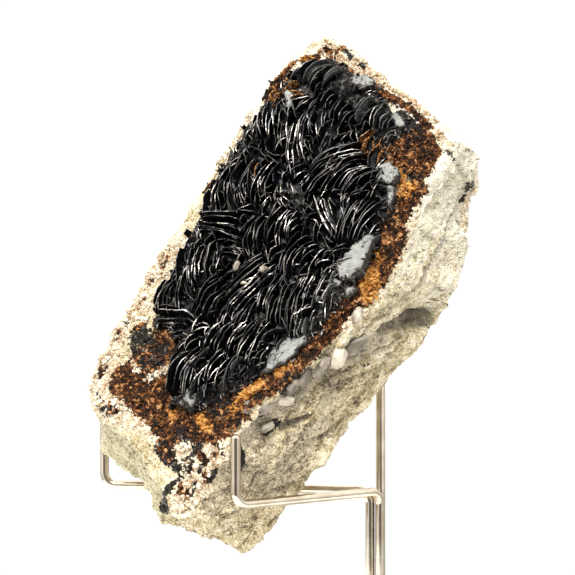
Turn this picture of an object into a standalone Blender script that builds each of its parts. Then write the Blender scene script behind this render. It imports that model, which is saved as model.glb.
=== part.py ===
"""Platy hematite crystals on a leaning block of pale rock, held by three bent wires on a round base.

Metres, +Z up. The origin is at the bottom centre of the whole object. The block has a frame of its own:
x across its front face, y along it and z out of it. Lists of places on the block are in millimetres.
"""

import math
import random

import bmesh
import bpy
from mathutils import Matrix, Vector, noise
from mathutils.geometry import delaunay_2d_cdt, intersect_point_line

MM = 0.001

BLOCK_LENGTH = 130

# How the block leans, and the middle of its front face above the table
LONG_AXIS = Vector((0.522, 0.188, 0.832))
FACE_NORMAL = Vector((-0.250, -0.899, 0.360))
FACE_CENTRE = Vector((-3.4, -2.0, 115.5)) * MM

# Corners of the block: across, along, out of the front face
FRONT_CORNERS = (
    (-23, 62.5, -3), (-13.5, 60.5, -3), (4.5, 55.5, -1.5), (19.4, 50.2, -1.5), (28, 48.5, -2),
    (28.8, 33, 0), (31.4, 17, 0), (32.3, 1, 0), (28.8, -14, 0), (20.6, -49.4, 0), (16, -75, -3.5),
    (2, -62, -0.5), (-19, -61, -1), (-25.5, -55.5, -1), (-27, -37, -0.5), (-27.3, -19, -1),
    (-27.6, 14.6, -1.5), (-28.6, 31.6, -1.5), (-28.5, 49, -1.5),
)
SIDE_CORNERS = (
    (29.8, 51, -9.5), (31.2, 49.6, -14), (37.8, 33.5, -20), (44.6, 17.5, -20), (43.2, 3.5, -22),
    (38, -14, -22), (36, -27, -22), (36.5, -40, -22), (34, -52, -23), (32.2, -63.5, -24),
    (29.8, -72.8, -25), (18.7, -73.5, -25), (6.5, -75, -24),
)
END_CORNERS = (
    (-2, -71, -34), (-9.4, -68.9, -33), (-18, -69.5, -31), (-23.5, -68.6, -28), (-27, -63.2, -25),
    (-31.8, -59.2, -19), (-28, -62.5, -36),
)
BACK_CORNERS = (
    (-20, 50, -34), (22, 46, -30), (35, 12, -32), (33, -16, -33), (26, -50, -40), (20, -66, -41),
    (0, -66, -38.3), (-22, -61, -39), (-24, -20, -40), (-24, 20, -38),
)

# Hollows (negative) and lumps (positive) on the block: place, radius and height
DENTS = (
    ((41, 4, -15.6), 7.5, -5.5), ((39, -13, -21), 11, -2.2), ((37, -31, -21), 8, -1.8),
    ((24, -45, -6), 6, -1.5), ((34, -47, -24), 5, -1.4), ((-8, -66, -20), 8, -1.8),
    ((-20, -63, -14), 6, -1.2), ((6, -68, -16), 5, -1.4), ((43, 22, -12), 9, -1.4),
    ((38, 38, -14), 7, -1.2), ((-27, 30, -20), 12, -2.5), ((-26, -20, -22), 14, -3.0),
    ((0, 20, -39), 16, -2.5), ((8, -35, -42), 12, -2.0), ((5, 55, -18), 10, -2.4),
    ((22, -20, -37), 8, 1.6),
    ((25.5, -36, -2), 4.5, 1.5), ((29.5, -22, -4), 5.0, 1.7), ((33.8, -13, -8), 4.5, 1.7),
    ((36.5, -7, -10.5), 3.5, 1.2),
)
VEIN = ((22, -49, -3), (27, -30, -3.5), (32, -17, -7), (38, -4, -12.5), (43, 8, -17))
VEIN_WIDTH, VEIN_DEPTH = 5.0, 2.0
LUMP_SIZE, LUMP_HEIGHT = 19.0, 1.3
CHIP_SIZES = ((15.0, 1.5), (6.5, 0.7))
GRAIN = 1.7 * MM
QUIET_RIM = 3.0
ROCK_TRIANGLES = 2650

# Ground that the crystals grow on, let into the front face: across, along
BED_OUTLINE = (
    (-21, 50), (-16, 54.5), (-5, 52.5), (6, 49), (14, 44), (13, 38), (17, 34), (22, 26), (25, 12),
    (25.5, -1), (24, -15), (18, -32), (13, -40), (6, -50), (0, -51), (-5, -46), (-7, -38), (-12, -34),
    (-18, -34), (-21.5, -28), (-22, -12), (-23.5, 4), (-24, 18), (-25, 31), (-24, 41),
)
BED_BOTTOM, BED_EDGE, BED_TOP = -2.7, 0.6, (0.7, 3.6)
BED_FACET = 6.5
BED_SEED = 4
FIT_GAP = 0.35

# Groups of crystal plates. Each row has the first and the last plate of a group, and how many there are.
# A plate is where its trace starts and ends (across, along) and how far the trace bows to its left.
CRYSTAL_FANS = (
    ((-1, 18, 7, 36, 5.5), (11, 21, 15, 31, 2.0), 6),
    ((0, 13, 4, 29, 1.5), (4, 17, 8, 30, 1.0), 3),
    ((18, 7, 14, 20, 1.5), (20, 9, 21, 24, 2.0), 5),
    ((2, 14, 17, 5, -1.0), (9, 18, 15, 13, 0.5), 4),
    ((2, 39, 3, 48, 1.0), (11, 40, 10, 48, 1.0), 4),
    ((-13, 41, -13, 47, 1.0), (-1, 36, 0, 43, 1.0), 4),
    ((-21, 43, -18, 52, 1.5), (-13, 45, -10, 53, 1.5), 4),
    ((-21, 23, -25, 30, 1.0), (-11, 24, -18, 36, 1.0), 5),
    ((-3, 16, -13, 34, 1.5), (-6, 30, -10, 40, 1.5), 4),
    ((-14, 3, -21, 19, 4.0), (-7, 6, -11, 20, 3.0), 5),
    ((-20, -2, -24, 8, 1.0), (-14, 2, -21, 10, 1.0), 3),
    ((-22, -3, -12, 2, -0.5), (-21, -6, -7, -3, 0.5), 4),
    ((-2, -8, -7, 6, 3.0), (4, 0, 2, 11, 1.5), 5),
    ((1, 3, 4, 9, 0.5), (7, -1, 11, 6, 0.5), 3),
    ((-8, -27, -6, -15, 3.0), (6, -30, 6, -13, 2.0), 6),
    ((-4, -18, 1, -5, 0.5), (1, -24, 6, -5, 0.5), 4),
    ((2, -36, 3, -24, 1.5), (13, -34, 11, -19, 1.5), 5),
    ((0, -52, 0, -33, 3.5), (10, -44, 9, -31, 2.0), 5),
    ((11, -23, 8, -9, 1.5), (21, -20, 15, -7, 1.0), 5),
    ((16, -12, 15, -2, 0.0), (19, -11, 18, 0, 0.0), 3),
    ((-18, -32, -19, -22, 1.5), (-12, -30, -17, -19, 1.0), 3),
    ((-13, -24, -21, -11, 1.5), (-8, -17, -14, -6, 1.5), 4),
    ((-19, -32, -11, -29, 0.5), (-18, -35, -10, -31, -0.5), 2),
    ((9, -10, 6, 1, 1.0), (14, -4, 15, 5, 1.0), 3),
    ((21, -23, 18, -12, 0.5), (25, -19, 23, -10, 0.5), 3),
    ((17, -37, 16, -25, 1.5), (22, -31, 21, -23, 0.5), 3),
)
PLATE_HEIGHT = 6.2
PLATE_FOOT = 1.8
BOW_OF_LONG_ARC = 1.2
PLATE_ROOT = -1.2
TOP_SHORTER = 0.14
END_HEIGHT = 0.62
SETTLING_MOVES = 4
FILL_SPACING, FILL_GAP, FILL_LENGTH = 3.0, 2.2, 8.0
PLATE_SEED = 2

# Wire stand: the three wires share one column behind and to the right of the stone's foot
WIRE_DIAMETER = 2.6 * MM
BEND_RADIUS = 3.6 * MM
BEND_STEPS = 4
ARM_HEIGHT = 47.6 * MM
HOOK_HEIGHT = 18.5 * MM
RIGHT_COLUMN = Vector((25.6, 11.8)) * MM
LEFT_COLUMN = Vector((22.9, 13.1)) * MM
BACK_COLUMN = Vector((25.9, 14.8)) * MM
RIGHT_HOOK = Vector((-13.4, -21.6)) * MM
LEFT_HOOK = Vector((-52.4, 30.0)) * MM
BACK_REST_TOP = Vector((26.2, 21.2, 90.0)) * MM
STONE_CLEARANCE = 0.45 * MM

# Round base under the column
BASE_CENTRE = Vector((12.0, 13.0)) * MM
BASE_RADIUS = 41.0 * MM
BASE_THICKNESS = 6.0 * MM
BASE_CHAMFER = 1.0 * MM
COLLAR_RADIUS = 6.5 * MM
COLLAR_HEIGHT = 5.0 * MM
SOCKET_RADIUS = 3.7 * MM
SOCKET_FLOOR = 3.0 * MM
BASE_SIDES = 32


def clear_scene():
    for thing in list(bpy.data.objects):
        bpy.data.objects.remove(thing, do_unlink=True)


def block_frame():
    along = LONG_AXIS.normalized()
    out = (FACE_NORMAL - along * FACE_NORMAL.dot(along)).normalized()
    across = along.cross(out)
    turn = Matrix((across, along, out)).transposed()
    return Matrix.Translation(FACE_CENTRE) @ turn.to_4x4()


def surface(name, colour, roughness, metallic):
    material = bpy.data.materials.new(name)
    material.use_nodes = True
    shader = material.node_tree.nodes["Principled BSDF"]
    shader.inputs["Base Color"].default_value = (*colour, 1.0)
    shader.inputs["Roughness"].default_value = roughness
    shader.inputs["Metallic"].default_value = metallic
    return material


def add_object(name, data, material=None):
    thing = bpy.data.objects.new(name, data)
    if material:
        data.materials.append(material)
    bpy.context.scene.collection.objects.link(thing)
    return thing


def as_helper(thing):
    thing.hide_render = True
    thing.display_type = "WIRE"
    return thing


def mesh_from(name, bm):
    bmesh.ops.recalc_face_normals(bm, faces=bm.faces)
    mesh = bpy.data.meshes.new(name)
    bm.to_mesh(mesh)
    bm.free()
    return mesh


def evaluated_mesh(thing):
    graph = bpy.context.evaluated_depsgraph_get()
    return bpy.data.meshes.new_from_object(thing.evaluated_get(graph))


def in_fixed_order(mesh):
    """The mesh with its points and faces sorted, so that the next step gives the same result each time."""
    points = [tuple(round(number, 8) for number in vertex.co) for vertex in mesh.vertices]
    order = sorted(range(len(points)), key=points.__getitem__)
    place = {old: new for new, old in enumerate(order)}
    faces = []
    for face in mesh.polygons:
        loop = [place[i] for i in face.vertices]
        turn = loop.index(min(loop))
        faces.append(loop[turn:] + loop[:turn])
    ordered = bpy.data.meshes.new(mesh.name)
    ordered.from_pydata([points[i] for i in order], [], sorted(faces))
    return ordered


def add_boolean(thing, other, operation):
    join = thing.modifiers.new(other.name, "BOOLEAN")
    join.object = other
    join.operation = operation
    join.solver = "EXACT"
    return join


def nearest_on_segment(point, start, end):
    share = intersect_point_line(point, start, end)[1]
    return start.lerp(end, min(max(share, 0.0), 1.0))


# Wires

def rounded_route(corners):
    """The corner points with each inner corner turned into an arc."""
    route = [corners[0]]
    for before, corner, after in zip(corners, corners[1:], corners[2:]):
        arriving = (corner - before).normalized()
        leaving = (after - corner).normalized()
        turn = arriving.angle(leaving)
        reach = BEND_RADIUS * math.tan(turn / 2)
        centre = corner + (leaving - arriving).normalized() * (BEND_RADIUS / math.cos(turn / 2))
        start = corner - arriving * reach - centre
        axis = arriving.cross(leaving)
        for step in range(BEND_STEPS + 1):
            route.append(centre + Matrix.Rotation(turn * step / BEND_STEPS, 3, axis) @ start)
    route.append(corners[-1])
    return route


def wire(name, corners, material):
    """A round wire along the corners, with a rounded tip at its last point."""
    radius = WIRE_DIAMETER / 2
    route = [(point, 1.0) for point in rounded_route(corners)]
    tip, towards = route[-1][0], (corners[-1] - corners[-2]).normalized()
    route.pop()
    for share in (1.0, 0.65, 0.3, 0.06):
        route.append((tip - towards * radius * share, math.sqrt(1 - (1 - share) ** 2)))
    curve = bpy.data.curves.new(name, "CURVE")
    curve.dimensions = "3D"
    curve.bevel_depth = radius
    curve.bevel_resolution = 3
    curve.use_fill_caps = True
    spline = curve.splines.new("POLY")
    spline.points.add(len(route) - 1)
    for place, (point, width) in zip(spline.points, route):
        place.co = (*point, 1.0)
        place.radius = width
    return add_object(name, curve, material)


def wire_corners():
    """Each wire's corner points, from its foot in the collar to its tip."""
    foot = SOCKET_FLOOR + 0.3 * MM
    lift = Vector((0, 0, ARM_HEIGHT))
    hook = Vector((0, 0, ARM_HEIGHT + HOOK_HEIGHT))

    def over(place, height):
        return place.to_3d() + Vector((0, 0, height))

    return {
        "left_arm_wire": [over(LEFT_COLUMN, foot), LEFT_COLUMN.to_3d() + lift,
                          LEFT_HOOK.to_3d() + lift, LEFT_HOOK.to_3d() + hook],
        "right_arm_wire": [over(RIGHT_COLUMN, foot), RIGHT_COLUMN.to_3d() + lift,
                           RIGHT_HOOK.to_3d() + lift, RIGHT_HOOK.to_3d() + hook],
        "back_rest_wire": [over(BACK_COLUMN, foot), over(BACK_COLUMN, ARM_HEIGHT), BACK_REST_TOP],
    }


# Block of rock

def rock_hull():
    bm = bmesh.new()
    for corner in FRONT_CORNERS + SIDE_CORNERS + END_CORNERS + BACK_CORNERS:
        bm.verts.new(Vector(corner) * MM)
    hull = bmesh.ops.convex_hull(bm, input=bm.verts)
    spare = set(hull["geom_interior"] + hull["geom_unused"])
    inside = [vertex for vertex in bm.verts if vertex in spare]
    bmesh.ops.delete(bm, geom=inside, context="VERTS")
    return mesh_from("rock_hull", bm)


def chip(place, size, height):
    """How far the tilted flat chip that this place lies on stands out."""
    spot = Vector((place.x, place.y / 1.6, place.z)) / size
    seed = noise.voronoi(spot)[1][0]
    tilt = Vector([noise.noise(seed * 3.7 + Vector((0, 0, layer))) for layer in (0, 17, 41)])
    return height * (noise.noise(seed * 2.3) + tilt.dot(spot - seed))


def vein_depth(place):
    depth = 0.0
    for start, end in zip(VEIN, VEIN[1:]):
        near = nearest_on_segment(place, Vector(start), Vector(end))
        depth = max(depth, 1 - ((near - place).length / VEIN_WIDTH) ** 2)
    return VEIN_DEPTH * depth


def relief(place):
    """How far the rock's surface stands out at this place, in millimetres."""
    height = LUMP_HEIGHT * noise.noise(place / LUMP_SIZE)
    height += sum(chip(place, size, tall) for size, tall in CHIP_SIZES)
    height -= vein_depth(place)
    for centre, radius, tall in DENTS:
        share = (Vector(centre) - place).length / radius
        if share < 1:
            height += tall * (1 - share ** 2) ** 2
    if place.z > -3:
        near_bed = 1 - beyond_bed(place.to_2d())[0] / QUIET_RIM
        height -= max(height, 0) * min(max(near_bed, 0.0), 1.0)
    return height


def push_clear(point, lines, distance):
    """The point, moved straight away from any wire that is nearer than the distance."""
    for start, end in lines:
        near = nearest_on_segment(point, start, end)
        gap = (point - near).length
        if gap < distance:
            point = near + (point - near) * (distance / gap)
    return point


def matrix_rock(place_block, wires, material):
    """The block of rock, with a shallow pocket for the crystals' ground."""
    rough = as_helper(add_object("rock_grains", rock_hull()))
    voxels = rough.modifiers.new("grains", "REMESH")
    voxels.mode = "VOXEL"
    voxels.voxel_size = GRAIN
    mesh = in_fixed_order(evaluated_mesh(rough))
    normals = [vertex.normal.copy() for vertex in mesh.vertices]
    back = place_block.inverted()
    lines = [(back @ a, back @ b) for route in wires.values() for a, b in zip(route, route[1:])]
    keep_away = WIRE_DIAMETER / 2 + STONE_CLEARANCE
    for vertex, normal in zip(mesh.vertices, normals):
        point = vertex.co + normal * relief(vertex.co / MM) * MM
        vertex.co = push_clear(point, lines, keep_away)
    mesh = in_fixed_order(mesh)
    rock = add_object("matrix_rock", mesh, material)
    thin = rock.modifiers.new("facets", "DECIMATE")
    thin.ratio = ROCK_TRIANGLES / sum(len(face.vertices) - 2 for face in mesh.polygons)
    pocket = as_helper(add_object("bed_pocket", bed_prism(FIT_GAP, BED_BOTTOM - FIT_GAP, PLATE_HEIGHT)))
    add_boolean(rock, pocket, "DIFFERENCE")
    rock.matrix_world = place_block
    pocket.matrix_world = place_block
    return rock


# Crystals

def beyond_bed(point):
    """How far a place is outside the bed (negative inside), and the nearest place on its edge."""
    nearest, inside = None, False
    outline = [Vector(corner) for corner in BED_OUTLINE]
    for start, end in zip(outline, outline[1:] + outline[:1]):
        near = nearest_on_segment(point, start, end)
        if nearest is None or (near - point).length < (nearest - point).length:
            nearest = near
        if (start.y > point.y) != (end.y > point.y):
            crossing = start.x + (end.x - start.x) * (point.y - start.y) / (end.y - start.y)
            inside = inside != (crossing > point.x)
    distance = (nearest - point).length
    return (-distance if inside else distance), nearest


def kept_on_bed(point, margin):
    """The place, moved in so that it is at least the margin inside the bed's edge."""
    distance, nearest = beyond_bed(point)
    if distance < -margin:
        return point
    inwards = (nearest - point) if distance > 0 else (point - nearest)
    return nearest + inwards.normalized() * margin


def grown_outline(gap):
    """The bed's outline moved outwards by the gap."""
    points = [Vector(point) for point in BED_OUTLINE]
    grown = []
    for before, point, after in zip(points[-1:] + points, points, points[1:] + points[:1]):
        first = (point - before).normalized()
        second = (after - point).normalized()
        outwards = Vector((first.y + second.y, -first.x - second.x)).normalized()
        grown.append(point - outwards * gap)
    return grown


def bed_prism(gap, bottom, top):
    bm = bmesh.new()
    rings = []
    for height in (bottom, top):
        rings.append([bm.verts.new(Vector((x, y, height)) * MM) for x, y in grown_outline(gap)])
    join_rings(bm, rings)
    return mesh_from("bed_prism", bm)


def join_rings(bm, rings):
    """Skin a stack of rings with equal point counts, and close both ends."""
    for lower, upper in zip(rings, rings[1:]):
        for i in range(len(lower)):
            j = (i + 1) % len(lower)
            bm.faces.new((lower[i], lower[j], upper[j], upper[i]))
    bm.faces.new(rings[0])
    bm.faces.new(rings[-1])


def crystal_bed():
    """The crust that all the plates grow from, with an uneven top of flat facets."""
    chance = random.Random(BED_SEED)
    outline = [Vector(point) for point in BED_OUTLINE]
    inner = []
    rows = math.ceil(BLOCK_LENGTH / BED_FACET)
    for row in range(rows):
        for column in range(rows // 2):
            spot = Vector((column - rows / 4, row - rows / 2)) * BED_FACET
            spot += Vector((chance.uniform(-0.3, 0.3), chance.uniform(-0.3, 0.3))) * BED_FACET
            if beyond_bed(spot)[0] < -BED_FACET / 3:
                inner.append(spot)
    count = len(outline)
    rim = [(i, (i + 1) % count) for i in range(count)]
    facets = delaunay_2d_cdt(outline + inner, rim, [], 1, 1e-4)
    heights = [BED_EDGE] * count + [chance.uniform(*BED_TOP) for spot in inner]
    bm = bmesh.new()
    bottom = [bm.verts.new(Vector((*point, BED_BOTTOM)) * MM) for point in outline]
    top = [bm.verts.new(Vector((*point, height)) * MM) for point, height in zip(facets[0], heights)]
    bm.faces.new(bottom)
    for i, j in rim:
        bm.faces.new((bottom[i], bottom[j], top[j], top[i]))
    for corners in facets[2]:
        bm.faces.new([top[i] for i in corners])
    return mesh_from("crystal_bed", bm)


def moved_onto_bed(places):
    """The places moved together until all are on the bed, well inside its edge."""
    for attempt in range(SETTLING_MOVES):
        moves = [kept_on_bed(place, PLATE_FOOT) - place for place in places]
        furthest = max(moves, key=lambda move: move.length)
        places = [place + furthest for place in places]
    return [kept_on_bed(place, PLATE_FOOT) for place in places]


def add_plate(bm, start, end, bow, height, lean):
    """One curved crystal plate, standing on the bed and thinning to a sharp edge."""
    chord = end - start
    left = Vector((-chord.y, chord.x)).normalized()
    steps = 3 if abs(bow) > BOW_OF_LONG_ARC else 2
    shares = [step / steps for step in range(steps + 1)]
    swells = [4 * share * (1 - share) for share in shares]
    feet = moved_onto_bed([start + chord * a + left * bow * b for a, b in zip(shares, swells)])
    sections = []
    for share, swell, foot in zip(shares, swells, feet):
        along = (chord + left * bow * 4 * (1 - 2 * share)).normalized()
        side = Vector((-along.y, along.x))
        top = foot + chord * (0.5 - share) * TOP_SHORTER + side * lean
        section = [(*(foot + side * half), PLATE_ROOT) for half in (PLATE_FOOT / 2, -PLATE_FOOT / 2)]
        section.append((*top, height * (END_HEIGHT + (1 - END_HEIGHT) * swell)))
        sections.append([bm.verts.new(Vector(corner) * MM) for corner in section])
    join_rings(bm, sections)


def fan_plates(chance):
    """Start, end and bow of every plate in the groups."""
    plates = []
    for first, last, count in CRYSTAL_FANS:
        for index in range(count):
            share = index / (count - 1)
            x0, y0, x1, y1, bow = (a + (b - a) * share for a, b in zip(first, last))
            shift = Vector((chance.uniform(-0.6, 0.6), chance.uniform(-0.6, 0.6)))
            plates.append((Vector((x0, y0)) + shift, Vector((x1, y1)) + shift, bow))
    return plates


def filling_plates(chance, groups):
    """Plates in the bare ground between the groups, each turned like the nearest one."""
    middles = [((start + end) / 2, end - start) for start, end, bow in groups]
    added = []
    rows = math.ceil(BLOCK_LENGTH / FILL_SPACING)
    for row in range(rows):
        for column in range(rows // 2):
            spot = Vector((column - rows / 4, row - rows / 2)) * FILL_SPACING
            spot += Vector((chance.uniform(-1, 1), chance.uniform(-1, 1))) * FILL_SPACING / 3
            if beyond_bed(spot)[0] > -2:
                continue
            nearest = (nearest_on_segment(spot, start, end) for start, end, bow in groups + added)
            if min((place - spot).length for place in nearest) < FILL_GAP:
                continue
            run = min(middles, key=lambda middle: (middle[0] - spot).length)[1].normalized()
            run = Matrix.Rotation(chance.uniform(-0.35, 0.35), 2) @ run
            run *= chance.uniform(0.7, 1.1) * FILL_LENGTH
            added.append((spot - run / 2, spot + run / 2, chance.uniform(0.0, 1.1)))
    return added


def crystal_plates():
    bm = bmesh.new()
    chance = random.Random(PLATE_SEED)
    groups = fan_plates(chance)
    for start, end, bow in groups + filling_plates(chance, groups):
        height = PLATE_HEIGHT * chance.uniform(0.78, 1.0)
        add_plate(bm, start, end, bow, height, chance.uniform(-1.3, 0.7))
    return mesh_from("crystal_plates", bm)


def outer_skin(mesh):
    """The mesh with only its largest shell, so that no closed pocket is left between plates that meet."""
    bm = bmesh.new()
    bm.from_mesh(mesh)
    waiting = set(bm.faces)
    shells = []
    while waiting:
        shell, edge_of_walk = set(), [waiting.pop()]
        while edge_of_walk:
            face = edge_of_walk.pop()
            shell.add(face)
            whole = [edge for edge in face.edges if len(edge.link_faces) == 2]
            around = {other for edge in whole for other in edge.link_faces} & waiting
            waiting -= around
            edge_of_walk.extend(around)
        shells.append(shell)
    shells.sort(key=len)
    inner = [face for shell in shells[:-1] for face in shell]
    bmesh.ops.delete(bm, geom=inner, context="FACES")
    bmesh.ops.dissolve_limit(bm, angle_limit=math.radians(0.5), verts=bm.verts, edges=bm.edges)
    bm.to_mesh(mesh)
    bm.free()
    return mesh


def hematite_crystals(place_block, material):
    """All the plates and the crust that they grow from, joined in one solid."""
    ground = as_helper(add_object("crystal_bed", crystal_bed()))
    plates = as_helper(add_object("crystal_plates", crystal_plates()))
    union = add_boolean(ground, plates, "UNION")
    union.use_self = True
    crystals = add_object("hematite_crystals", outer_skin(evaluated_mesh(ground)), material)
    ground.modifiers.remove(union)
    crystals.matrix_world = place_block
    return crystals


# Base

def stand_base(material):
    """A turned disc with a low collar, bored to take the three wires."""
    collar = (RIGHT_COLUMN + LEFT_COLUMN + BACK_COLUMN) / 3
    top = BASE_THICKNESS
    disc = (
        (0.0, BASE_RADIUS - BASE_CHAMFER, BASE_CENTRE), (BASE_CHAMFER, BASE_RADIUS, BASE_CENTRE),
        (top - BASE_CHAMFER, BASE_RADIUS, BASE_CENTRE), (top, BASE_RADIUS - BASE_CHAMFER, BASE_CENTRE),
        (top, COLLAR_RADIUS + 0.4 * MM, collar), (top + 0.4 * MM, COLLAR_RADIUS, collar),
        (top + COLLAR_HEIGHT - 0.6 * MM, COLLAR_RADIUS, collar),
        (top + COLLAR_HEIGHT, COLLAR_RADIUS - 0.6 * MM, collar),
        (top + COLLAR_HEIGHT, SOCKET_RADIUS, collar), (SOCKET_FLOOR, SOCKET_RADIUS, collar),
    )
    bm = bmesh.new()
    rings = []
    for height, radius, centre in disc:
        ring = []
        for step in range(BASE_SIDES):
            angle = 2 * math.pi * step / BASE_SIDES
            point = centre + Vector((math.cos(angle), math.sin(angle))) * radius
            ring.append(bm.verts.new((*point, height)))
        rings.append(ring)
    join_rings(bm, rings)
    mesh = mesh_from("stand_base", bm)
    mesh.shade_smooth()
    mesh.set_sharp_from_angle(angle=math.radians(30))
    return add_object("stand_base", mesh, material)


def stand_on_origin(things):
    """Moves everything so that the origin is at the bottom centre of the whole."""
    bpy.context.view_layer.update()
    corners = []
    for thing in things:
        corners += [thing.matrix_world @ vertex.co for vertex in evaluated_mesh(thing).vertices]
    lowest = [min(corner[axis] for corner in corners) for axis in range(3)]
    highest = [max(corner[axis] for corner in corners) for axis in range(3)]
    origin = Vector(((lowest[0] + highest[0]) / 2, (lowest[1] + highest[1]) / 2, lowest[2]))
    for thing in bpy.data.objects:
        thing.matrix_world = Matrix.Translation(-origin) @ thing.matrix_world


def build():
    clear_scene()
    stone = surface("pale_rock", (0.62, 0.56, 0.42), 0.9, 0.0)
    crystal = surface("black_hematite", (0.03, 0.03, 0.035), 0.35, 0.8)
    steel = surface("nickel_steel", (0.72, 0.69, 0.64), 0.25, 1.0)
    place_block = block_frame()
    wires = wire_corners()
    things = [wire(name, corners, steel) for name, corners in wires.items()]
    things.append(matrix_rock(place_block, wires, stone))
    things.append(hematite_crystals(place_block, crystal))
    things.append(stand_base(steel))
    stand_on_origin(things)


build()
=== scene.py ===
import math
import random

import bmesh
import bpy
import numpy as np
from mathutils import Euler, Matrix, Vector, noise
from mathutils.geometry import delaunay_2d_cdt


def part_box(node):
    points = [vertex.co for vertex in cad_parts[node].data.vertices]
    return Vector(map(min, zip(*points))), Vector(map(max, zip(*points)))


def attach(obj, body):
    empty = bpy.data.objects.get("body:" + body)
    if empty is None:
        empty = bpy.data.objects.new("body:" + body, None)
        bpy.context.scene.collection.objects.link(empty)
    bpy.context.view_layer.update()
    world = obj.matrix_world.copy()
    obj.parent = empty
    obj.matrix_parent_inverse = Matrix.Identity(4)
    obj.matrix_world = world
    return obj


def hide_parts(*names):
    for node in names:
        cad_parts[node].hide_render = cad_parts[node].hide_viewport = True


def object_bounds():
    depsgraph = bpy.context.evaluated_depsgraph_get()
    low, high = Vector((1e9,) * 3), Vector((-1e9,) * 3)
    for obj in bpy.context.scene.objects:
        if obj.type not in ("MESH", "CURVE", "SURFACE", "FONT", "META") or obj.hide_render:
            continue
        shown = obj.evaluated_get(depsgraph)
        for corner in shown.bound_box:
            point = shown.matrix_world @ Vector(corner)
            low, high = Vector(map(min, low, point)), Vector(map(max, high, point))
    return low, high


# Hematite plates on a block of pale rock, held by a bent wire stand.
# Lists of places are in millimetres in the block's own frame: across its face, along it, out of it.

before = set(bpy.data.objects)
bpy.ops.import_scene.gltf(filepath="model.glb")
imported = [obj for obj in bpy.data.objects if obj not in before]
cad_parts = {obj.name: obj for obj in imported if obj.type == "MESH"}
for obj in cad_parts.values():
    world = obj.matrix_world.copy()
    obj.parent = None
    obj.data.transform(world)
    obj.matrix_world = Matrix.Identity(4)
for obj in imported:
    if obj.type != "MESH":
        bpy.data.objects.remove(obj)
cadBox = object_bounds()
print("stage: frame loaded")

mm = 0.001

block = {
    "longAxis": (0.522, 0.188, 0.832),
    "faceNormal": (-0.250, -0.899, 0.360),
    "faceCentre": (-3.4, -2.0, 115.5),
    "baseCentre": (12.0, 13.0),      # where the stand's base lies in the same numbers
}


def worldShift():
    low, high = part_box("stand_base")
    middle = (Vector(low) + Vector(high)) / 2
    return Vector((middle.x, middle.y, 0)) - Vector((*block["baseCentre"], 0)) * mm


def blockMatrix():
    along = Vector(block["longAxis"]).normalized()
    out = Vector(block["faceNormal"])
    out = (out - along * out.dot(along)).normalized()
    turn = Matrix((along.cross(out), along, out)).transposed().to_4x4()
    return Matrix.Translation(Vector(block["faceCentre"]) * mm + shift) @ turn


shift = worldShift()
toWorld = blockMatrix()
toBlock = toWorld.inverted()


# Nodes, for materials and for shapes

class Flow:
    # one output socket: + - * / between these, or with numbers, add Math nodes to the same tree
    def __init__(self, socket):
        self.socket = socket

    @staticmethod
    def add(tree, kind, settings=None, sockets=None, out=0):
        node = tree.nodes.new(kind)
        for name, value in (settings or {}).items():
            if name == "stops":
                while len(node.color_ramp.elements) < len(value):
                    node.color_ramp.elements.new(0.5)
                for element, (place, colour) in zip(node.color_ramp.elements, value):
                    element.position, element.color = place, (*colour, 1.0)
            else:
                setattr(node, name, value)
        for key, value in (sockets or {}).items():
            shown = [socket for socket in node.inputs if socket.enabled]
            entry = shown[key] if isinstance(key, int) else next(s for s in shown if s.name == key)
            if isinstance(value, Flow):
                tree.links.new(value.socket, entry)
            else:
                entry.default_value = value
        shown = [socket for socket in node.outputs if socket.enabled]
        return Flow(shown[out] if isinstance(out, int) else node.outputs[out])

    def math(self, operation, *others):
        values = dict(enumerate((self, *others)))
        return Flow.add(self.socket.id_data, "ShaderNodeMath", {"operation": operation}, values)

    def vector(self, operation, *others):
        values = dict(enumerate((self, *others)))
        return Flow.add(self.socket.id_data, "ShaderNodeVectorMath", {"operation": operation}, values)

    def __add__(self, other): return self.math("ADD", other)
    def __sub__(self, other): return self.math("SUBTRACT", other)
    def __mul__(self, other): return self.math("MULTIPLY", other)
    def __truediv__(self, other): return self.math("DIVIDE", other)
    def __pow__(self, other): return self.math("POWER", other)
    def __rsub__(self, other): return self.math("MULTIPLY", -1.0).math("ADD", other)
    __radd__ = __add__
    __rmul__ = __mul__

    def band(self, low, high):
        # 0 below low, 1 above high, with a soft step between
        return Flow.add(self.socket.id_data, "ShaderNodeMapRange", {"interpolation_type": "SMOOTHSTEP"},
                        {"Value": self, "From Min": low, "From Max": high})

    def part(self, axis):
        return Flow.add(self.socket.id_data, "ShaderNodeSeparateXYZ", None, {0: self}, axis)

    def noise(self, scale, detail=2.0, rough=0.5, out=0):
        return Flow.add(self.socket.id_data, "ShaderNodeTexNoise", None,
                        {"Vector": self, "Scale": scale, "Detail": detail, "Roughness": rough}, out)

    def cells(self, scale, feature="F1", out="Distance"):
        return Flow.add(self.socket.id_data, "ShaderNodeTexVoronoi", {"feature": feature},
                        {"Vector": self, "Scale": scale}, out)

    def tint(self, colours):
        # numbers from 0 to 1 turned into a run of colours
        stops = [(i / (len(colours) - 1), colour) for i, colour in enumerate(colours)]
        return Flow.add(self.socket.id_data, "ShaderNodeValToRGB", {"stops": stops}, {0: self})

    def between(self, first, second):
        # this share of the way from the first colour to the second
        first, second = [c if isinstance(c, Flow) else (*c, 1.0) for c in (first, second)]
        return Flow.add(self.socket.id_data, "ShaderNodeMix", {"data_type": "RGBA"},
                        {"Factor": self, "A": first, "B": second})


def newFinish(name):
    # an empty material: its tree, its shader and the place on the piece in metres
    material = bpy.data.materials.new(name)
    material.use_nodes = True
    tree = material.node_tree
    shader = tree.nodes["Principled BSDF"]
    place = Flow.add(tree, "ShaderNodeTexCoord", out="Object")
    return material, tree, shader, place


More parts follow.
